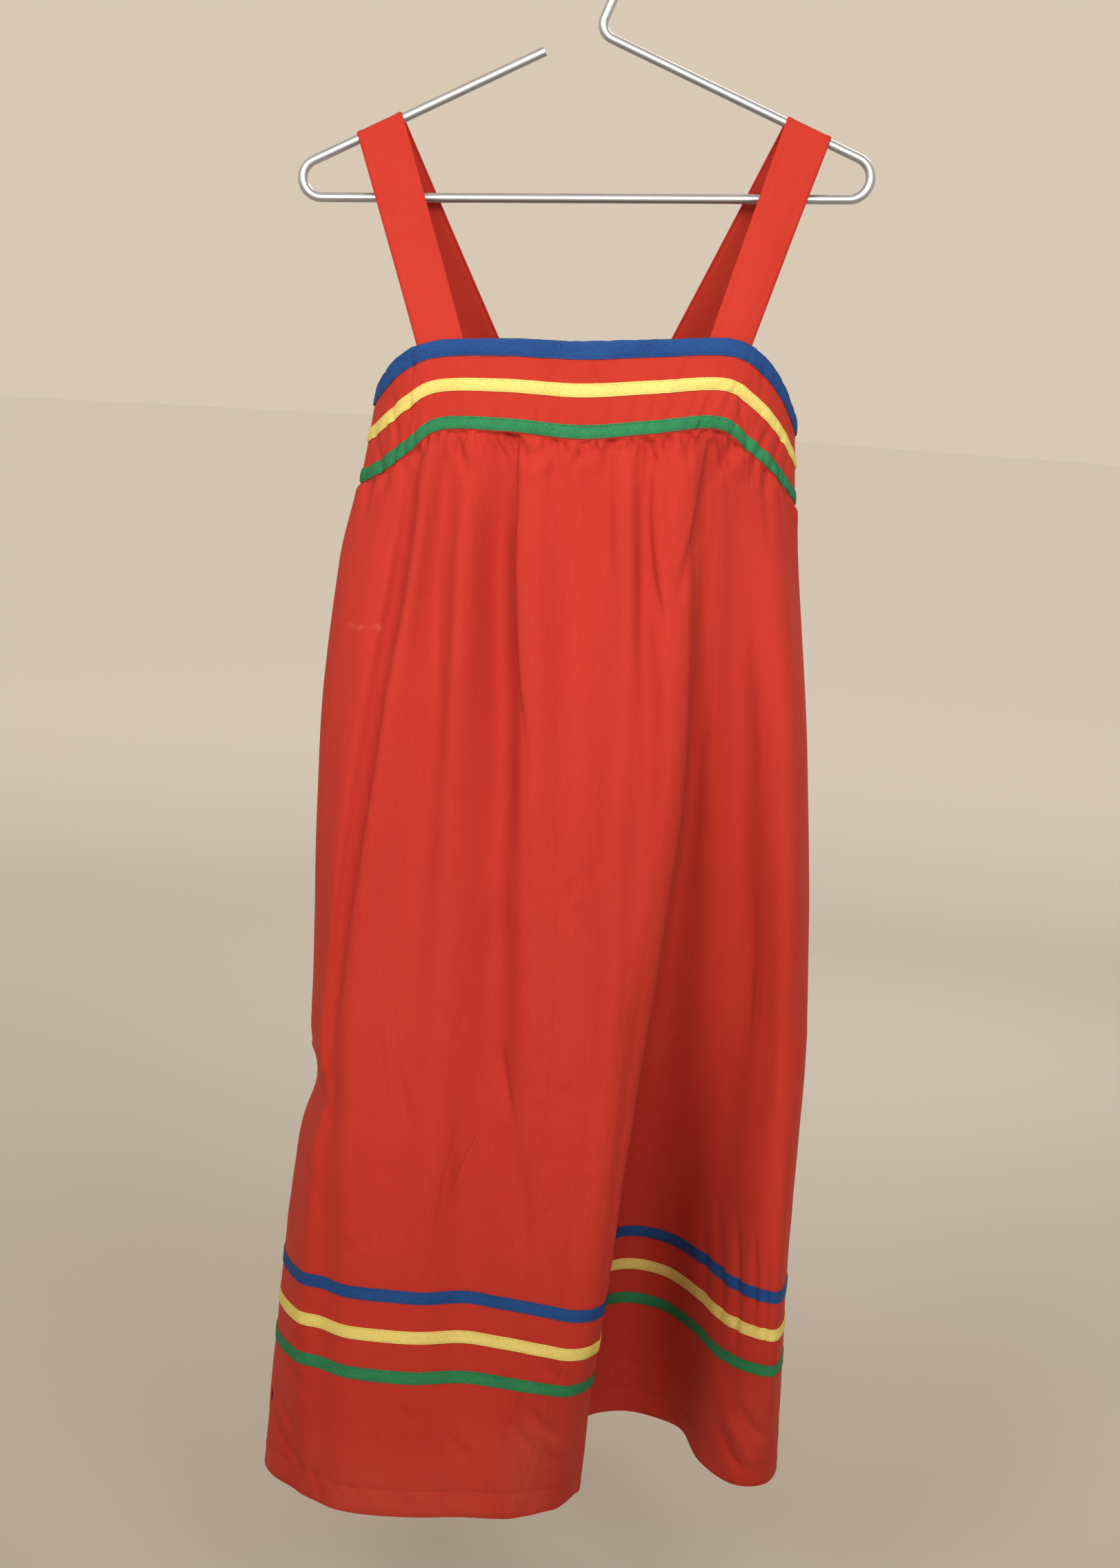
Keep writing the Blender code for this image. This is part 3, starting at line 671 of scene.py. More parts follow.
# Gathers under the band: x at the band, depth, width to the left and right, and how far down it runs
frontGathers = (
    (-146, 1.6, 4, 3, 60), (-135, 1.8, 3, 3, 44), (-124, 1.4, 2.5, 2, 30), (-113, 1.8, 6, 1.6, 40),
    (-105, 1.6, 2.5, 2.5, 36), (-97, 1.4, 2.5, 3, 26), (-88, 2.4, 4.5, 4, 110), (-78, 1.6, 2.5, 2.5, 40),
    (-70, 1.4, 2, 2, 24), (-58, 2.0, 5, 2, 60), (-47, 1.8, 3, 2, 30), (-40, 2.4, 5, 1.6, 60),
    (-30, 1.4, 2.5, 3, 34), (-22, 1.6, 2, 2, 26), (-13, 2.0, 4, 3, 120), (-4, 1.8, 2.5, 2.5, 44),
    (4, 1.4, 2, 2, 28), (10, 2.2, 2.5, 3, 60), (18, 1.6, 2, 2, 30), (28, 2.2, 6, 1.8, 90),
    (36, 1.6, 2, 2, 28), (43, 2.0, 3, 2.5, 44), (53, 2.4, 6, 1.8, 70), (61, 1.6, 2, 2.5, 34),
    (70, 2.4, 3, 3, 70), (78, 1.6, 2, 2, 30), (85, 2.6, 3, 2, 60), (95, 2.0, 3, 3, 60),
    (104, 3.0, 4, 5, 110), (112, 1.6, 2.5, 2.5, 34), (121, 2.6, 5, 4, 130), (133, 1.8, 3, 3, 50),
    (144, 1.8, 4, 3, 60), (156, 1.4, 4, 4, 50),
)
backGathers = (
    (156, 1.4, 4, 4, 50), (146, 1.8, 4, 3, 60), (134, 1.8, 3, 3, 46), (122, 2.6, 5, 4, 120),
    (111, 1.6, 2.5, 2.5, 36), (103, 2.8, 4, 5, 100), (94, 1.8, 3, 3, 40), (84, 2.4, 2.5, 2, 60),
    (76, 1.6, 2, 2, 30), (67, 3.2, 6, 1.6, 110), (59, 1.5, 2, 2, 26), (48, 2.8, 3, 5, 130),
    (38, 1.6, 2, 2, 30), (29, 2.0, 3, 3, 50), (18, 1.6, 2.5, 2, 34), (8, 3.0, 5, 1.6, 110),
    (-2, 1.6, 2, 2.5, 30), (-13, 2.6, 4, 4, 130), (-24, 1.6, 2.5, 2, 34), (-33, 2.0, 3, 2, 50),
    (-43, 3.2, 1.6, 6, 100), (-53, 1.5, 2, 2, 28), (-63, 2.0, 3, 3, 60), (-74, 2.8, 4, 4, 120),
    (-84, 1.6, 2, 2.5, 34), (-94, 1.8, 3, 2, 46), (-104, 2.8, 1.6, 5, 90), (-116, 1.6, 3, 3, 44),
    (-127, 2.0, 3, 4, 60), (-140, 1.5, 4, 4, 50),
)

# Folds and wrinkles further down: depth, width left and right of a path of x and z, and its soft ends.
# The first rows are overlapped like pleats, with a slope on one side and a lip on the other.
frontCreases = (
    (4.2, 11, 1.5,
     ((-111, -365), (-114, -435), (-125, -527), (-134, -621), (-146, -729), (-151, -797), (-158, -890)),
     (0.08, 0.4)),
    (4.6, 13, 1.6,
     ((-41, -362), (-39, -420), (-38, -467), (-32, -533), (-20, -594), (-12, -650)),
     (0.02, 0.45)),
    (3.0, 8, 1.8, ((33, -361), (28, -394), (31, -424), (32, -450), (33, -480)), (0.02, 0.4)),
    (3.6, 9, 2.2, ((58, -362), (57, -392), (58, -418), (64, -460), (73, -490), (78, -530)), (0.02, 0.4)),
    (3.2, 2.0, 7, ((99, -358), (96, -399), (91, -437), (82, -474), (76, -492)), (0.05, 0.35)),
    # Broad soft folds that run down from the gathers
    (2.4, 9, 8, ((-90, -368), (-87, -430), (-87, -500), (-86, -580), (-84, -660)), (0.1, 0.5)),
    (-1.6, 6, 7, ((-104, -376), (-108, -440), (-114, -520), (-122, -600)), (0.15, 0.5)),
    (-1.6, 8, 8, ((-70, -380), (-69, -456), (-68, -540), (-66, -640)), (0.15, 0.5)),
    (3.0, 12, 10, ((-52, -400), (-48, -456), (-41, -540), (-34, -620), (-28, -720)), (0.2, 0.3)),
    (3.6, 15, 13, ((-30, -690), (-28, -770), (-23, -840), (-8, -930), (2, -1000)), (0.2, 0.35)),
    (-2.2, 7, 9, ((-26, -378), (-24, -420), (-20, -490), (-10, -570), (0, -660)), (0.08, 0.5)),
    (2.2, 12, 13, ((2, -376), (5, -430), (8, -490), (14, -560), (24, -640)), (0.15, 0.5)),
    (-1.5, 6, 7, ((20, -372), (19, -400), (20, -440)), (0.2, 0.4)),
    (-1.8, 6, 6, ((42, -376), (43, -420), (46, -470), (50, -540)), (0.15, 0.4)),
    (-1.8, 9, 6, ((82, -370), (80, -410), (76, -440)), (0.2, 0.4)),
    (1.5, 9, 9, ((66, -600), (64, -680), (58, -770)), (0.4, 0.4)),
    (-1.5, 9, 9, ((44, -560), (46, -640), (44, -740)), (0.4, 0.4)),
    (3.2, 14, 13,
     ((116, -372), (121, -430), (124, -490), (130, -560), (138, -650), (146, -740)),
     (0.08, 0.4)),
    (-3.0, 15, 9,
     ((150, -410), (160, -470), (170, -560), (180, -650), (187, -740), (192, -850)),
     (0.15, 0.3)),
    (1.6, 5, 2.5, ((158, -690), (161, -740), (163, -800), (164, -850)), (0.3, 0.4)),
    # Tucks that lean where the gathers pull under the band
    (2.0, 3, 2.5, ((-70, -359), (-66, -364), (-60, -370), (-52, -378), (-45, -385)), (0.05, 0.4)),
    (2.2, 3.5, 2.5, ((-60, -359), (-54, -364), (-47, -369), (-41, -374)), (0.08, 0.3)),
    (2.0, 3.5, 3.5, ((-40, -368), (-34, -376), (-28, -379), (-20, -376), (-13, -366)), (0.2, 0.15)),
    (-1.8, 5, 5, ((-36, -386), (-28, -390), (-20, -387), (-12, -378)), (0.3, 0.3)),
    (1.8, 2, 1.8, ((-16, -362), (-13, -367), (-8, -374)), (0.05, 0.5)),
    (1.6, 1.8, 1.8, ((11, -364), (11, -372), (12, -386)), (0.05, 0.6)),
    (2.0, 3, 2, ((25, -360), (29, -367), (34, -371), (40, -367)), (0.1, 0.2)),
    (1.8, 2, 2, ((64, -357), (69, -361), (75, -364)), (0.1, 0.4)),
    (1.8, 2, 2, ((76, -355), (82, -358), (88, -361), (94, -366)), (0.1, 0.4)),
    (1.6, 2.2, 2.2, ((-81, -360), (-79, -367), (-76, -378)), (0.05, 0.6)),
    (1.7, 3, 3, ((142, -378), (145, -402), (150, -440)), (0.1, 0.5)),
    (1.6, 3, 3, ((-147, -400), (-149, -420), (-152, -450)), (0.1, 0.5)),
    # Along the lobe's edge
    (-2.6, 12, 5,
     ((97, -533), (98, -590), (97, -650), (89, -740), (77, -840), (66, -940), (58, -1040), (54, -1110)),
     (0.2, 0.2)),
    # Small creases between the folds
    (1.8, 2.2, 1.4, ((66, -697), (73, -699), (82, -699)), (0.3, 0.3)),
    (2.2, 4, 3, ((11, -712), (22, -694), (35, -672)), (0.3, 0.3)),
    (-1.8, 6, 6, ((22, -716), (34, -700), (46, -676)), (0.35, 0.35)),
    (2.4, 5, 2.2, ((-28, -818), (-22, -850), (-12, -886)), (0.25, 0.35)),
    (1.6, 2.4, 2.0, ((-6, -864), (8, -867), (27, -865)), (0.3, 0.4)),
    (1.6, 3, 2, ((-10, -845), (18, -851), (45, -850), (62, -842)), (0.3, 0.4)),
    (1.4, 2.2, 2, ((20, -905), (44, -899), (70, -885)), (0.4, 0.4)),
    (1.6, 2.4, 2.4, ((-150, -990), (-136, -988), (-120, -980), (-100, -969)), (0.3, 0.4)),
    (1.8, 4, 3, ((-122, -800), (-112, -850), (-108, -905)), (0.4, 0.5)),
    (1.8, 3, 4, ((-108, -832), (-96, -868), (-90, -900)), (0.4, 0.5)),
    (2.2, 7, 5, ((-62, -860), (-52, -900), (-46, -960)), (0.35, 0.4)),
    (1.9, 6, 5, ((-8, -900), (-2, -940), (2, -985)), (0.4, 0.4)),
    # Around the notch in the left side
    (1.6, 3, 4, ((-176, -862), (-164, -872), (-152, -890), (-146, -915)), (0.1, 0.5)),
    (-1.5, 4, 4, ((-176, -846), (-164, -850), (-154, -860)), (0.1, 0.5)),
    (1.2, 3, 3, ((-178, -905), (-170, -925), (-164, -955)), (0.3, 0.4)),
    # Wrinkles by the hem, at its corners and between them
    (2.6, 3, 3, ((-196, -1128), (-186, -1150), (-170, -1168), (-158, -1180)), (0.2, 0.3)),
    (2.4, 3, 3, ((-188, -1115), (-176, -1140), (-164, -1152)), (0.3, 0.3)),
    (2.4, 4, 3, ((10, -1100), (28, -1120), (44, -1128)), (0.3, 0.3)),
    (2.0, 3, 3, ((24, -1135), (36, -1150), (50, -1150)), (0.3, 0.3)),
    (1.8, 3, 2, ((-10, -1112), (8, -1126), (22, -1146)), (0.3, 0.3)),
    (2.0, 2.5, 2.5, ((14, -1062), (30, -1070), (50, -1072)), (0.3, 0.3)),
    (1.6, 2.5, 2.5, ((-96, -1096), (-84, -1112), (-62, -1120)), (0.3, 0.4)),
    (1.5, 2.5, 3, ((-60, -1128), (-40, -1140), (-22, -1160)), (0.3, 0.4)),
    (1.6, 2.5, 2.5, ((-176, -1034), (-164, -1040), (-150, -1044)), (0.3, 0.4)),
    (1.6, 2.5, 2.5, ((-180, -1066), (-166, -1074), (-152, -1076)), (0.3, 0.4)),
    (1.5, 3, 2, ((-184, -1094), (-168, -1102), (-156, -1118)), (0.3, 0.4)),
    (1.5, 2.5, 3, ((60, -1112), (66, -1136), (82, -1156)), (0.3, 0.4)),
    (1.6, 3, 2, ((76, -1118), (92, -1140), (112, -1150)), (0.3, 0.4)),
    (2.6, 3, 3, ((176, -1120), (190, -1140), (206, -1150)), (0.3, 0.3)),
    (-2.4, 4, 3, ((168, -1130), (184, -1158), (200, -1180)), (0.3, 0.3)),
    (2.6, 3, 3, ((160, -1140), (176, -1170), (190, -1186)), (0.3, 0.3)),
    # Upright wrinkles in the right lobe, above and between the tapes
    (2.0, 3, 2, ((150, -962), (156, -1000), (160, -1040), (160, -1070)), (0.3, 0.3)),
    (2.2, 2.6, 2.4, ((163, -950), (168, -1000), (171, -1040), (171, -1085)), (0.3, 0.3)),
    (1.8, 2.4, 2, ((178, -965), (182, -1010), (184, -1060)), (0.3, 0.4)),
    (1.6, 2.4, 2, ((190, -985), (192, -1030), (193, -1075)), (0.3, 0.4)),
    (2.0, 3, 2.4, ((142, -985), (147, -1020), (149, -1060)), (0.4, 0.4)),
)
backCreases = (
    (3.0, 8, 1.6, ((-58, -378), (-62, -460), (-70, -560), (-76, -680)), (0.02, 0.45)),
    (3.0, 1.6, 8, ((62, -376), (66, -460), (76, -560), (88, -700)), (0.02, 0.4)),
    (2.6, 8, 1.6, ((4, -378), (6, -430), (2, -520), (-4, -600)), (0.02, 0.5)),
    (2.2, 7, 7, ((112, -380), (122, -470), (134, -600), (146, -740)), (0.05, 0.4)),
    (2.0, 7, 6, ((-108, -386), (-116, -480), (-124, -600), (-132, -760)), (0.05, 0.4)),
    (-1.8, 8, 8, ((30, -400), (36, -500), (44, -640)), (0.2, 0.4)),
    (-1.8, 8, 8, ((-30, -400), (-34, -500), (-34, -660)), (0.2, 0.4)),
    (1.2, 4, 3, ((20, -700), (34, -684), (46, -660)), (0.3, 0.3)),
    (1.0, 3, 3, ((-80, -850), (-60, -856), (-36, -850)), (0.3, 0.4)),
    (1.0, 3, 3, ((60, -890), (84, -880), (108, -862)), (0.3, 0.4)),
    (0.9, 3, 2, ((-20, -930), (6, -936), (30, -930)), (0.3, 0.4)),
    (1.3, 4, 3, ((-150, -860), (-138, -872), (-120, -884)), (0.2, 0.5)),
    (1.4, 3, 3, ((196, -1110), (182, -1132), (166, -1146)), (0.3, 0.3)),
    (1.3, 3, 3, ((-176, -1120), (-160, -1140), (-146, -1160)), (0.3, 0.3)),
    (1.1, 3, 2.4, ((120, -1000), (124, -1040), (124, -1080)), (0.3, 0.4)),
    (1.0, 2.6, 2.4, ((-60, -990), (-62, -1030), (-60, -1075)), (0.3, 0.4)),
    (1.0, 2.6, 2.4, ((14, -985), (16, -1020), (14, -1060)), (0.3, 0.4)),
)


def skirtRelief(shape, points, normals):
    # How far the cloth stands out from its plain form, over the whole grid
    x, z = points[:, :, 0], points[:, :, 2]
    down = shape.top[:, 2] - z
    front = shape.places <= skirtForm["frontFolds"]
    lean = 0.3 * softNoise(shape.along / 19, 0 * shape.along, 8)
    place = shape.along[None, :] + lean[None, :] * np.minimum(down, 40)
    wider = fineWaves(place, down - 3, 9, narrow=13, wide=26, reach=60)
    relief = fineWaves(place, down, 5) + 0.8 * wider * softStep(down / 14)
    puff = skirtCloth["puff"] * softStep(down / 6) * np.exp(-((down / skirtCloth["puffReach"]) ** 2))
    relief = relief + puff
    for gathers, chosen in ((frontGathers, front), (backGathers, ~front)):
        for x0, depth, left, right, reach in gathers:
            # x runs backwards round the back, so left and right are as seen from the front
            away = shape.bandX - x0 - skirtCloth["gatherLean"] * math.sin(1.7 * x0) * down
            width = np.where(away > 0, right, left)
            groove = np.where(chosen, np.exp(-((away / width) ** 2)), 0.0)
            run = skirtCloth["gatherLeast"] + skirtCloth["gatherShare"] * reach
            fade = softStep((down + 0.5) / 4) * (1 - softStep((down - 0.25 * run) / run))
            relief = relief - skirtCloth["gatherDepth"] * depth * groove * fade
    facing = normals[:, :, 1]
    for creases, chosen, weight in (
        (frontCreases, front, softStep((0.25 - facing) / 0.5)),
        (backCreases, ~front, softStep((0.25 + facing) / 0.5)),
    ):
        for depth, left, right, path, fade in creases:
            found = crease(x[:, chosen], z[:, chosen], depth, left, right, path, fade)
            relief[:, chosen] += found * weight[:, chosen]
    # Slow unevenness of hanging cotton, in upright streaks and in broad hills, and crumples lower down
    lower = softStep((down - skirtCloth["crumplesFrom"]) / skirtCloth["crumplesOver"])
    uneven = skirtCloth["streaks"] * softNoise(shape.along / 17 + 3, z / 85, 11)
    uneven = uneven + skirtCloth["hills"] * softNoise(shape.along / 34, z / 70, 12)
    uneven = uneven + skirtCloth["crumples"] * softNoise(shape.along / 13 + z / 40, z / 21, 13) * lower
    relief = relief + uneven * softStep(down / skirtCloth["unevenOver"])
    half, total = shape.along[front][-1], shape.along[-1]
    relief = relief - seamGroove(shape.along, total, half, skirtCloth["seamGroove"], skirtCloth["seamWidth"])
    # The first rows follow the band's lower edge, to which they are sewn
    sewn = 1 - softStep((down - skirtForm["gap"]) / skirtCloth["sewn"])
    return relief + (np.interp(shape.along, *bandLowerEdge) - relief) * sewn


def skirtRows(shape):
    # Heights of the grid's rows, column by column, and how far inside the outer cloth each row lies
    top, hem = shape.top[:, 2], shape.hem
    # Closer rows where the gathers are
    depths = (
        skirtForm["gap"], 1.2, 2.2, 3.5, 5, 6.5, 8, 10, 12, 14.5, 17, 20, 23, 26, 30, 34, 38, 43, 48, 54, 60,
        66, 73, 80, skirtCloth["gatherEnd"],
    )
    rows = [top - depth for depth in depths]
    start = rows[-1]
    rows += [start + (skirtCloth["foldsFrom"] - start) * share for share in np.linspace(0, 1, 23)[1:]]
    tapeEdges = [edge for edges in skirtCloth["tapes"].values() for edge in edges]
    stops = [skirtCloth["foldsFrom"], *tapeEdges]
    for a, b in zip(stops, stops[1:]):
        steps = max(2, math.ceil((a - b) / skirtCloth["rowStep"]))
        rows += [a + (b - a) * share + 0 * top for share in np.linspace(0, 1, steps + 1)[1:]]
    turn = hem + skirtCloth["hemTurn"]
    start = rows[-1]
    rows += [start + (turn + 3 - start) * share for share in np.linspace(0, 1, 18)[1:]]
    rows += [turn + lift for lift in (1.4, 0.0, -1.4, -3.5, -7, -11, -15)]
    rows.append(hem)
    inset = [0.0] * len(rows)
    for lift, share in skirtCloth["turnUp"]:
        rows.append(hem + lift)
        inset.append(skirtCloth["turnOffset"] * share)
    return np.array(rows), np.array(inset)[:, None]


def hemPucker(shape, z):
    # Small slanting waves between the hem's edge and its stitching
    above = z - shape.hem
    inside = softStep(above / 5) * softStep((skirtCloth["hemTurn"] + 4 - above) / 8)
    wave = softNoise(shape.along / 5.5 + above / 16, above / 19 + 5, 21)
    line = np.exp(-(((above - skirtCloth["hemTurn"]) / skirtCloth["hemLineWidth"]) ** 2))
    return skirtCloth["hemWave"] * wave * inside - skirtCloth["hemLine"] * line


def makeSkirt():
    half = skirtForm["frontFolds"]

    def widths(places):
        # Columns are spread by the length of the second height's section, and less by the hem's
        form = onLoop(folds[:, 1:], places)
        return np.hstack([form[:, 2:4], 0.6 * form[:, 8:10]])

    places = np.concatenate([
        evenly(0, half, skirtCloth["frontColumns"], widths),
        evenly(half, skirtForm["folds"], skirtCloth["backColumns"], widths)[1:],
    ])
    shape = SkirtShape(places)
    z, inset = skirtRows(shape)
    plain = shape.points(z)
    normals = outwards(plain, True)
    # The turned-up rows keep the normals of the rows outside them
    hemRow = len(z) - len(skirtCloth["turnUp"]) - 1
    normals[hemRow:] = normals[hemRow - 1]
    relief = skirtRelief(shape, plain, normals) + hemPucker(shape, z)
    points = plain + normals * (relief - inset)[:, :, None]
    pieces = makePanels(("skirtFront", "skirtBack"), points, skirtCloth["frontColumns"], skirtCloth["thick"])
    return shape, z, points, pieces


skirtShape, skirtZ, skirtPoints, skirtPieces = makeSkirt()
print("skirt made")


# The tapes, which lie on the cloth along two lines of stitching

tapeCloth = {
    "thick": 0.45, "rise": 0.2, "crown": 0.14, "rows": 14, "stitch": 0.12, "groove": 0.16, "pull": 0.032,
    "hemRipple": 0.16, "cornerRipple": 0.30, "cornerReach": 24,
}


def overGrid(grid, shares):
    # The grid's points at shares of the way down it
    places = shares * (len(grid) - 1)
    i = np.minimum(np.floor(places).astype(int), len(grid) - 2)
    t = (places - i)[:, None, None]
    return grid[i] * (1 - t) + grid[i + 1] * t


def layTape(name, outer, colour, ripple):
    # outer is the cloth's own grid under the tape, and ripple lifts the tape's middle
    shares = np.linspace(0, 1, tapeCloth["rows"] + 1)
    under, normals = overGrid(outer, shares), overGrid(outwards(outer, True), shares)
    crown = tapeCloth["crown"] * (1 - abs(2 * shares - 1) ** 6)
    for line in (tapeCloth["stitch"], 1 - tapeCloth["stitch"]):
        crown -= tapeCloth["groove"] * np.exp(-(((shares - line) / tapeCloth["pull"]) ** 2))
    height = tapeCloth["thick"] + tapeCloth["rise"] + crown[:, None] + ripple(shares[:, None])
    points = under + normals * height[:, :, None]
    piece = meshFromGrid(name, points, gridLengths(points), True, looks[colour + "_tape"])
    return thicken(piece, tapeCloth["thick"]), points


def makeHemTape(colour):
    high, low = skirtCloth["tapes"][colour]
    outer = skirtPoints[[k for k in range(len(skirtZ)) if low - 0.01 <= skirtZ[k, 0] <= high + 0.01]]
    along = skirtShape.along[None, :]

    def ripple(shares):
        wave = softNoise(along / 6.5 + shares, shares * 1.5 + high / 7, 43)
        return tapeCloth["hemRipple"] * wave * np.sin(math.pi * shares)

    return layTape("hemTape" + colour.title(), outer, colour, ripple)


hemTapes, hemTapeGrids = {}, {}
for colour in skirtCloth["tapes"]:
    hemTapes[colour], hemTapeGrids[colour] = makeHemTape(colour)
print("hem tapes made")


# The band's tapes and its binding

bandTapeRipples = {
    # sizes of the long ripples and of those that the gathers press through, the run of the long ones, a seed
    "yellow": (0.40, 0.12, 4.3, 7),
    "green": (0.36, 0.14, 3.4, 5),
}


def makeBandTape(colour):
    high, low = bandTapes[colour]
    outer = bandPoints[[k for k in range(len(bandDepths)) if high - 0.01 <= bandDepths[k] <= low + 0.01]]
    slack, pressed, run, seed = bandTapeRipples[colour]

    def ripple(shares):
        along = bandAlong[None, :] + 2.5 * (shares - 0.5)
        corners = np.zeros(along.shape)
        for place in bandCorners:
            corners += np.exp(-(((along - place) / tapeCloth["cornerReach"]) ** 2))
        size = slack + tapeCloth["cornerRipple"] * corners
        wave = (1 + softNoise(along / run, 0.7 * shares + seed, 41)) * size
        wave = wave + pressed * (0.5 + 0.8 * corners) * fineWaves(along, 4 + 0 * along, seed)
        return wave * np.sin(math.pi * np.clip(shares, 0.03, 0.97)) ** 0.7

    return layTape("bandTape" + colour.title(), outer, colour, ripple)


def bandCornersAt(xs, first, last):
    # How far along the band these x lie, between two of its columns
    middle = bandPoints[len(bandDepths) // 2, first:last, 0]
    return [bandAlong[first + int(np.argmin(abs(middle - x)))] for x in xs]


rightSeam = bandCloth["frontColumns"]
bandCorners = bandCornersAt((-100, 107), 0, rightSeam + 1) + bandCornersAt((94, -86), rightSeam, None)
bandTapePieces, bandTapeGrids = {}, {}
for colour in bandTapes:
    bandTapePieces[colour], bandTapeGrids[colour] = makeBandTape(colour)

bindingCloth = {
    "wide": 12.0, "thick": 0.7, "clear": 0.25, "round": 5, "faceRows": 6, "bulge": 0.35, "ripple": 0.34,
    "slowRipple": 0.3, "stitch": 0.15,
}


def makeBinding():
    # The rows run up the front face, over the band's top and down the inside
    top = bandPoints[0]
    low = np.array([np.interp(bindingCloth["wide"], bandDepths, bandPoints[:, k, i])
                    for k in range(bandPoints.shape[1]) for i in range(3)]).reshape(-1, 3)
    normals = outwards(np.stack([top, low]), True)
    up = top - low
    up /= np.linalg.norm(up, axis=1, keepdims=True)
    wall = bandCloth["thick"] + 2 * bindingCloth["clear"] + 2 * bindingCloth["thick"]
    out = bindingCloth["clear"] + bindingCloth["thick"]
    rows = []
    for share in np.linspace(1, 0, bindingCloth["faceRows"]):
        bulge = out + bindingCloth["bulge"] * math.sin(math.pi * share)
        rows.append(top + (low - top) * share + normals[0] * bulge)
    for k in range(1, bindingCloth["round"] + 1):
        turn = math.pi * k / (bindingCloth["round"] + 1)
        centre = top + normals[0] * (out - wall / 2)
        rows.append(centre + normals[0] * math.cos(turn) * wall / 2 + up * math.sin(turn) * wall / 2)
    for share in np.linspace(0, 1, bindingCloth["faceRows"]):
        rows.append(top + (low - top) * share + normals[0] * (out - wall))
    points = np.array(rows)
    places = np.arange(len(points))[:, None] / 5.0
    ripple = bindingCloth["ripple"] * softNoise(bandAlong[None, :] / 4.5 + 0 * places, places, 51)
    slow = softNoise(bandAlong[None, :] / 12 + 0 * places, places / 2, 52)
    ripple = ripple + bindingCloth["slowRipple"] * slow
    # The grid is turned before its normals are taken, so that its first row is the inside edge
    points = points[::-1]
    points = points + outwards(points, True) * ripple[::-1, :, None]
    piece = meshFromGrid("neckBinding", points, gridLengths(points), True, looks["blue_tape"])
    return thicken(piece, bindingCloth["thick"]), points


binding, bindingGrid = makeBinding()
print("band made")


# Straps

strapCloth = {
    "strapLeft": {"front": (-118.5, -83.7), "arm": (-170.0, -138.0), "back": (-91.0, -55.0)},
    "strapRight": {"front": (94.0, 126.5), "arm": (140.0, 173.0), "back": (63.0, 97.0)},
}
strapShape = {
    "thick": 1.1, "tuck": 18.0, "wrap": 75.0, "slack": 3.0, "across": 26, "clear": 0.35, "behindBand": 0.4,
    "ripple": 0.9, "cup": 0.8, "fold": 0.45, "foldPlace": 2.2, "foldWidth": 1.6, "thinning": 1.4, "edgeWidth": 0.9,
    "tuckRows": 6, "backRows": 60, "wrapRows": 19, "frontRows": 58,
}
hangerSizes = {
    "wire": 7.2, "barHeight": -193.9, "barTilt": 3.28, "leftEnd": (-38.0, -91.0), "leftTilt": 28.1,
    "rightPoint": (21.5, -83.8), "rightTilt": -21.65, "leftBend": 13.9, "rightBend": 15.6,
    "neckBend": 11.0, "neckShift": 11.5, "hookInside": 17.0, "hookEnd": 205.0,
    "sides": 32, "runStep": 12, "turnStep": 7,
}


def bandPlace(first, last, x, depth):
    # A point and normal on the band's outer face
    fine = np.linspace(first, last, 600)
    stations = onLoop(bandStations, fine)
    way = 1 if last == bandForm["frontStations"] else -1
    place = np.interp(way * x, way * stations[:, 0], fine)
    near = onLoop(bandStations, np.array([place - 0.02, place, place + 0.02]))
    tops, lows = near[:, :3], near[:, 3:]
    down = lows[1] - tops[1]
    normal = np.cross(down, tops[2] - tops[0])
    return tops[1] + down * depth / bandForm["height"], normal / np.linalg.norm(normal)


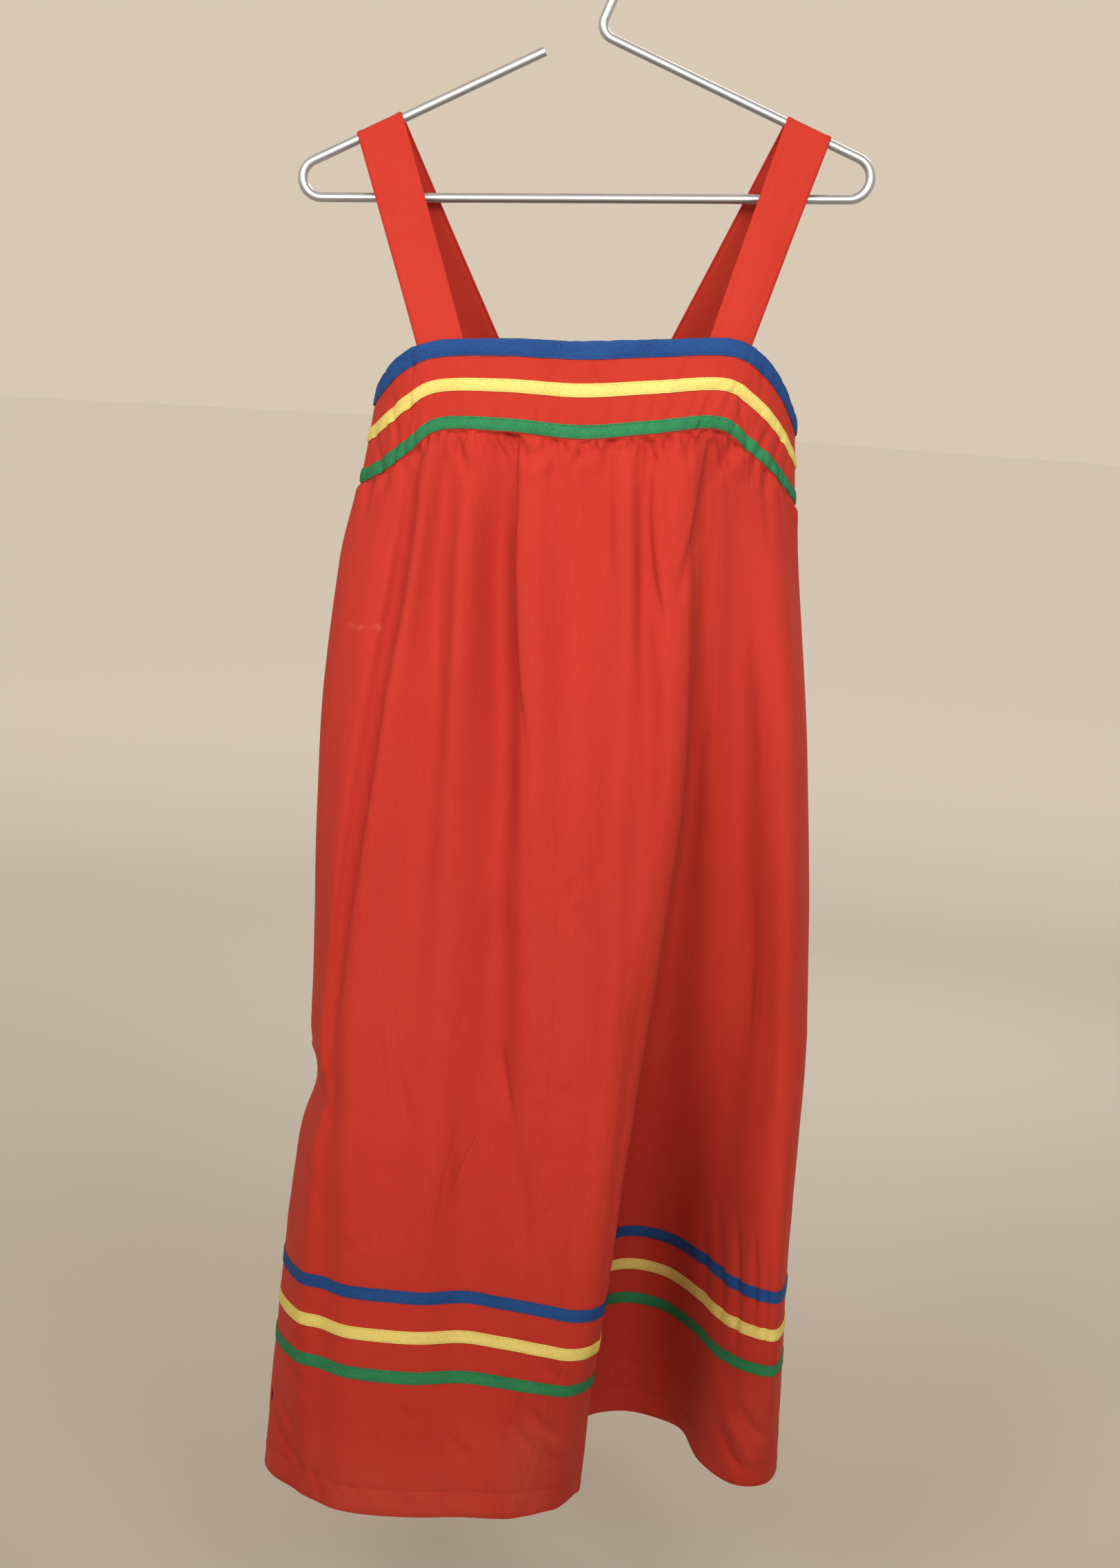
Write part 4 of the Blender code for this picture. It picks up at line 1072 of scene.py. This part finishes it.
def makeStrap(name):
    sizes = strapCloth[name]
    left = name == "strapLeft"
    start = np.array(hangerSizes["leftEnd"] if left else hangerSizes["rightPoint"])
    tilt = math.radians(hangerSizes["leftTilt"] if left else hangerSizes["rightTilt"])
    along = np.array([math.cos(tilt), 0, math.sin(tilt)])
    over = np.array([-along[2], 0, along[0]])
    radius = hangerSizes["wire"] / 2 + strapShape["clear"] + strapShape["thick"]
    inset = bandCloth["thick"] + strapShape["behindBand"] + bindingCloth["thick"] + bindingCloth["clear"]
    shares = np.linspace(0, 1, strapShape["across"] + 1)
    half, whole = bandForm["frontStations"], bandForm["stations"]

    def bandRow(first, last, edges, depth):
        row = []
        for share in shares:
            point, normal = bandPlace(first, last, edges[0] + (edges[1] - edges[0]) * share, depth)
            row.append(point - normal * inset)
        return np.array(row)

    def armRow(angle):
        turn = math.radians(angle)
        out = over * math.cos(turn) + np.array([0, -1, 0]) * math.sin(turn)
        xs = sizes["arm"][0] + (sizes["arm"][1] - sizes["arm"][0]) * shares
        base = np.array([start[0], 0, start[1]])
        return base + along * ((xs - start[0]) / along[0])[:, None] + out * radius

    def between(first, last, count, seed):
        rows = []
        way = 1 if first[0, 1] + last[0, 1] < 0 else -1
        for share in np.linspace(0, 1, count + 2)[1:-1]:
            sag = np.array([0, strapShape["slack"] * math.sin(math.pi * share) * way, 0])
            ripple = strapShape["ripple"] * softNoise(shares * 2.2, 0 * shares + share * 4.5, seed)
            cup = strapShape["cup"] * np.sin(math.pi * shares) * math.sin(math.pi * share)
            row = first + (last - first) * share + sag
            row[:, 1] += (ripple * math.sin(math.pi * share) - cup) * way
            rows.append(row)
        return rows

    tuck = np.linspace(strapShape["tuck"], 0, strapShape["tuckRows"])
    behind = [bandRow(half, whole, sizes["back"], depth) for depth in tuck]
    turns = np.linspace(-strapShape["wrap"], strapShape["wrap"], strapShape["wrapRows"])
    wrap = [armRow(angle) for angle in turns]
    before = [bandRow(0, half, sizes["front"], depth) for depth in tuck[::-1]]
    backLeg = between(behind[-1], wrap[0], strapShape["backRows"], 61 + left)
    frontLeg = between(wrap[-1], before[0], strapShape["frontRows"], 63 + left)
    points = np.array([*behind, *backLeg, *wrap, *frontLeg, *before])
    # A strap is a folded tube, so it swells a little towards its edges and thins at them
    edge = np.minimum(shares, 1 - shares)
    width = np.linalg.norm(points[0, -1] - points[0, 0])
    swell = np.exp(-((edge * width - strapShape["foldPlace"]) / strapShape["foldWidth"]) ** 2)
    swell = swell - strapShape["thinning"] * np.exp(-((edge * width / strapShape["edgeWidth"]) ** 2))
    points = points + outwards(points, False) * (strapShape["fold"] * swell)[None, :, None]
    piece = meshFromGrid(name, points, gridLengths(points), False, looks["red_cotton"])
    return thicken(piece, strapShape["thick"])


straps = {name: makeStrap(name) for name in strapCloth}
print("straps made")


# The hanger: one wire, drawn from its cut end by extruding runs and spinning bends

def bendCentre(pointA, tiltA, pointB, tiltB, radius):
    # The centre of a bend that lies radius below line A and radius above line B
    ta, tb = math.radians(tiltA), math.radians(tiltB)
    na, nb = np.array([-math.sin(ta), math.cos(ta)]), np.array([-math.sin(tb), math.cos(tb)])
    return np.linalg.solve(np.array([na, nb]), [na @ pointA - radius, nb @ pointB + radius])


def hangerBends():
    # Each bend: its centre, radius and the angles in degrees where the wire enters and leaves it
    h = hangerSizes
    bar = (0.0, h["barHeight"])
    left = bendCentre(h["leftEnd"], h["leftTilt"], bar, h["barTilt"], h["leftBend"])
    right = bendCentre(h["rightPoint"], h["rightTilt"], bar, h["barTilt"], h["rightBend"])
    tilt = math.radians(h["rightTilt"])
    foot = np.array(h["rightPoint"]) - h["neckShift"] * np.array([1, math.tan(tilt)])
    neck = foot + h["neckBend"] * np.array([-math.sin(tilt), math.cos(tilt)])
    hook = np.array([0.0, -h["hookInside"]])
    hookRadius = h["hookInside"] + h["wire"] / 2
    lean = math.degrees(math.atan2(hook[1] - neck[1], hook[0] - neck[0]))
    lean -= math.degrees(math.asin((h["neckBend"] + hookRadius) / np.linalg.norm(hook - neck)))
    return (
        (left, h["leftBend"], h["leftTilt"] + 90, h["barTilt"] + 270),
        (right, h["rightBend"], h["barTilt"] - 90, h["rightTilt"] + 90),
        (neck, h["neckBend"], h["rightTilt"] + 270, lean + 90),
        (hook, hookRadius, lean - 90, h["hookEnd"]),
    )


def makeHanger():
    h = hangerSizes
    radius = h["wire"] / 2
    start = np.array([h["leftEnd"][0], 0, h["leftEnd"][1]])
    tilt = math.radians(h["leftTilt"])
    bpy.ops.object.select_all(action="DESELECT")
    bpy.ops.mesh.primitive_circle_add(
        vertices=h["sides"], radius=radius * mm, fill_type="NOTHING", location=Vector(start) * mm,
        rotation=(0, math.pi / 2 - tilt, 0),
    )
    wire = bpy.context.object
    wire.name = wire.data.name = "hangerWire"
    chooseOnly(wire)
    bpy.ops.object.transform_apply(location=True, rotation=True, scale=True)
    bpy.ops.object.mode_set(mode="EDIT")
    bpy.ops.mesh.select_all(action="SELECT")
    here = np.array(h["leftEnd"])
    for centre, bend, enter, leave in hangerBends():
        turn = math.radians(enter)
        entry = centre + bend * np.array([math.cos(turn), math.sin(turn)])
        step = entry - here
        runs = max(1, round(np.linalg.norm(step) / h["runStep"]))
        for _ in range(runs):
            move = (step[0] * mm / runs, 0, step[1] * mm / runs)
            bpy.ops.mesh.extrude_region_move(TRANSFORM_OT_translate={"value": move})
        angle = math.radians(leave - enter)
        bpy.ops.mesh.spin(
            steps=max(6, round(abs(leave - enter) / h["turnStep"])), angle=angle,
            center=(centre[0] * mm, 0, centre[1] * mm), axis=(0, 1, 0),
        )
        turn = math.radians(leave)
        here = centre + bend * np.array([math.cos(turn), math.sin(turn)])
    bpy.ops.mesh.select_all(action="SELECT")
    bpy.ops.mesh.remove_doubles(threshold=0.00002)
    # Close both cut ends
    bpy.ops.mesh.select_mode(type="EDGE")
    bpy.ops.mesh.select_all(action="DESELECT")
    bpy.ops.mesh.select_non_manifold()
    bpy.ops.mesh.edge_face_add()
    bpy.ops.mesh.select_all(action="SELECT")
    bpy.ops.mesh.normals_make_consistent(inside=False)
    bpy.ops.object.mode_set(mode="OBJECT")
    wire.data.materials.append(looks["wire"])
    bpy.ops.object.shade_smooth_by_angle(angle=math.radians(40))
    return wire


hanger = makeHanger()
print("hanger made")


# Stitching: short tapered dashes of thread that lie along a line on the cloth

stitchSizes = {
    "pitch": 2.5, "length": 2.0, "thick": 0.36, "lift": 0.05, "rings": (-1, -0.55, 0.55, 1),
    "taper": 0.25, "sink": 0.12,  # how thin a dash is at its ends, and how far they go into the cloth
}


class Stitching:
    # Gathers the dashes of one colour, then makes them one piece
    def __init__(self, name, look):
        self.name, self.look = name, look
        self.points, self.faces = [], []

    def sew(self, grid, share):
        # Along the grid, share of the way down it
        line = overGrid(grid, np.array([share]))[0]
        normals = overGrid(outwards(grid, True), np.array([share]))[0]
        lengths = lengthsAlong(line)
        count = int(lengths[-1] / stitchSizes["pitch"])
        middles = (np.arange(count) + 0.5) * lengths[-1] / count
        half, radius = stitchSizes["length"] / 2, stitchSizes["thick"] / 2

        def at(values, places):
            return np.stack([np.interp(places, lengths, values[:, k]) for k in range(3)], axis=1)

        up = at(normals, middles)
        up /= np.linalg.norm(up, axis=1, keepdims=True)
        ends = [at(line, np.clip(middles + way * half, 0, lengths[-1])) for way in (-1, 1)]
        ahead = ends[1] - ends[0]
        ahead /= np.linalg.norm(ahead, axis=1, keepdims=True)
        side = np.cross(up, ahead)
        first = sum(len(dashes) for dashes in self.points)
        # Four rings of four points to a dash
        corners = []
        for way in stitchSizes["rings"]:
            atEnd = abs(way) == 1
            size = radius * (stitchSizes["taper"] if atEnd else 1.0)
            middle = at(line, np.clip(middles + way * half, 0, lengths[-1]))
            middle = middle + up * (stitchSizes["lift"] - (stitchSizes["sink"] if atEnd else 0.0))
            for a, b in ((1, 0), (0, 1), (-1, 0), (0, -1)):
                corners.append(middle + (side * a + up * b) * size)
        self.points.append(np.stack(corners, axis=1).reshape(-1, 3))
        starts = first + len(corners) * np.arange(count)[:, None]
        for ring in range(3):
            for k in range(4):
                a, b = 4 * ring + k, 4 * ring + (k + 1) % 4
                self.faces.append(starts + np.array([[a, b, b + 4, a + 4]]))
        self.faces.append(starts + np.array([[3, 2, 1, 0]]))
        self.faces.append(starts + np.array([[12, 13, 14, 15]]))

    def finish(self):
        mesh = bpy.data.meshes.new(self.name)
        mesh.from_pydata((np.vstack(self.points) * mm).tolist(), [], np.vstack(self.faces).tolist())
        mesh.materials.append(self.look)
        mesh.polygons.foreach_set("use_smooth", [True] * len(mesh.polygons))
        made = bpy.data.objects.new(self.name, mesh)
        bpy.context.scene.collection.objects.link(made)
        chooseOnly(made)
        bpy.ops.object.mode_set(mode="EDIT")
        bpy.ops.mesh.select_all(action="SELECT")
        bpy.ops.mesh.normals_make_consistent(inside=False)
        bpy.ops.object.mode_set(mode="OBJECT")
        return made


def sewAll():
    made = []
    lines = (tapeCloth["stitch"], 1 - tapeCloth["stitch"])
    for colour in ("blue", "yellow", "green"):
        work = Stitching(colour + "Stitches", threads[colour + "_tape"])
        for grids in (hemTapeGrids, bandTapeGrids):
            if colour in grids:
                for share in lines:
                    work.sew(grids[colour], share)
        if colour == "blue":
            # Close to the binding's inside edge and to its front edge
            fromEdge = bindingCloth["stitch"] * bindingCloth["faceRows"] / len(bindingGrid)
            work.sew(bindingGrid, fromEdge)
            work.sew(bindingGrid, 1 - fromEdge)
        made.append(work.finish())
    hemRow = int(np.argmin(abs(skirtZ[:, 0] - skirtShape.hem[0] - skirtCloth["hemTurn"])))
    work = Stitching("hemStitches", threads["red_cotton"])
    work.sew(skirtPoints[hemRow - 1 : hemRow + 2], 0.5)
    made.append(work.finish())
    return made


stitches = sewAll()
print("stitching made")


# What stands for what

soft = [*skirtPieces, *bandPieces, *straps.values(), *hemTapes.values(), *bandTapePieces.values(), binding]
for piece in [*soft, *stitches, hanger]:
    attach(piece, "root")
for piece, node in (
    (skirtPieces[0], "skirt_front"), (skirtPieces[1], "skirt_back"), (bandPieces[0], "yoke_front"),
    (bandPieces[1], "yoke_back"), (straps["strapLeft"], "strap_left"), (straps["strapRight"], "strap_right"),
    (hemTapes["blue"], "hem_tape_blue"), (hemTapes["yellow"], "hem_tape_yellow"),
    (hemTapes["green"], "hem_tape_green"), (bandTapePieces["yellow"], "yoke_tape_yellow"),
    (bandTapePieces["green"], "yoke_tape_green"), (binding, "neck_binding"), (hanger, "hanger"),
):
    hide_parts(node)
for colour, piece in [*hemTapes.items(), *bandTapePieces.items(), ("blue", binding)]:
    colour + "_tape"


# Camera, light and floor

view = {
    "place": (0.0062722, -2.2, -0.2046592),
    "lookDown": 11.0,
    "roll": 3.6,
    "lens": 67.47, "sensor": 36.0, "nearest": 0.05,
}


def makeCamera():
    down, roll = math.radians(view["lookDown"]), math.radians(view["roll"])
    ahead = Vector((0, math.cos(down), -math.sin(down)))
    up = Vector((0, math.sin(down), math.cos(down)))
    right = ahead.cross(up)
    turn = Matrix.Rotation(-roll, 3, ahead)
    axes = Matrix([turn @ right, turn @ up, -ahead]).transposed()
    data = bpy.data.cameras.new("camera")
    data.lens, data.sensor_width, data.clip_start = view["lens"], view["sensor"], view["nearest"]
    made = bpy.data.objects.new("camera", data)
    bpy.context.scene.collection.objects.link(made)
    made.matrix_world = Matrix.Translation(view["place"]) @ axes.to_4x4()
    bpy.context.scene.camera = made


lights = (
    # name, place, aimed at, size, power, how wide it spreads in degrees, colour
    ("left", (-1.10, -1.95, 0.60), (0.0, 0.0, -0.36), 1.00, 4.5, 60.0, (1.0, 0.96, 0.90)),
    ("right", (0.85, -2.2, 0.50), (0.0, 0.0, -0.36), 1.00, 4.3, 60.0, (1.0, 0.97, 0.93)),
    ("front", (0.0, -2.7, 0.45), (0.0, 0.0, -0.30), 0.80, 1.7, 50.0, (1.0, 0.97, 0.93)),
    ("back", (0.9, 2.6, 0.9), (0.0, 0.0, -0.6), 1.0, 14.0, 110.0, (1.0, 0.97, 0.93)),
)
room = {
    "colour": rgb(0.80, 0.68, 0.54), "strength": 0.86,
    "floorHeight": -1.36, "floorRadius": 14,
    # The floor's colour holds painted shade and painted light: darker near the dress, where the lamps light it
    # most, and paler far off, where only the room's light reaches
    "floorNearPaintedShade": (rgb(0.40, 0.37, 0.33), rgb(0.44, 0.41, 0.36)), "floorFarPaintedLight": rgb(0.93, 0.93, 0.93),
    "nearEnds": 0.4, "farStarts": 4.5,
}


def makeLights():
    for name, place, aim, size, power, spread, colour in lights:
        data = bpy.data.lights.new(name, "AREA")
        data.shape, data.size, data.energy, data.color = "DISK", size, power, colour
        data.spread = math.radians(spread)
        lamp = bpy.data.objects.new(name, data)
        bpy.context.scene.collection.objects.link(lamp)
        lamp.location = place
        lamp.visible_camera = False
        lamp.rotation_euler = (Vector(aim) - Vector(place)).to_track_quat("-Z", "Y").to_euler()
    world = bpy.data.worlds.new("room")
    bpy.context.scene.world = world
    world.use_nodes = True
    background = world.node_tree.nodes["Background"]
    background.inputs["Color"].default_value = room["colour"]
    background.inputs["Strength"].default_value = room["strength"]


def makeFloor():
    bpy.ops.object.select_all(action="DESELECT")
    bpy.ops.mesh.primitive_circle_add(
        vertices=96, radius=room["floorRadius"], fill_type="NGON", location=(0, 0, room["floorHeight"])
    )
    floor = bpy.context.object
    floor.name = "floor"
    shade = Shade("pale floor")
    place = shade.node("ShaderNodeTexCoord", {}, {}, 3)
    cloud = shade.noise(place, 1.5, 3.0)
    away = shade.node("ShaderNodeVectorMath", {"operation": "LENGTH"}, {0: place}, 1)
    # Painted shade near the dress and painted light far off, so that the floor looks evenly lit
    near = shade.mix(cloud, *room["floorNearPaintedShade"])
    tint = shade.mix(away.ramp(room["nearEnds"], room["farStarts"]), near, room["floorFarPaintedLight"])
    floor.data.materials.append(shade.finish(Base_Color=tint, Roughness=0.9))


makeCamera()
makeLights()
makeFloor()
bpy.context.scene.view_settings.view_transform = "Standard"
print("camera, light and floor made")
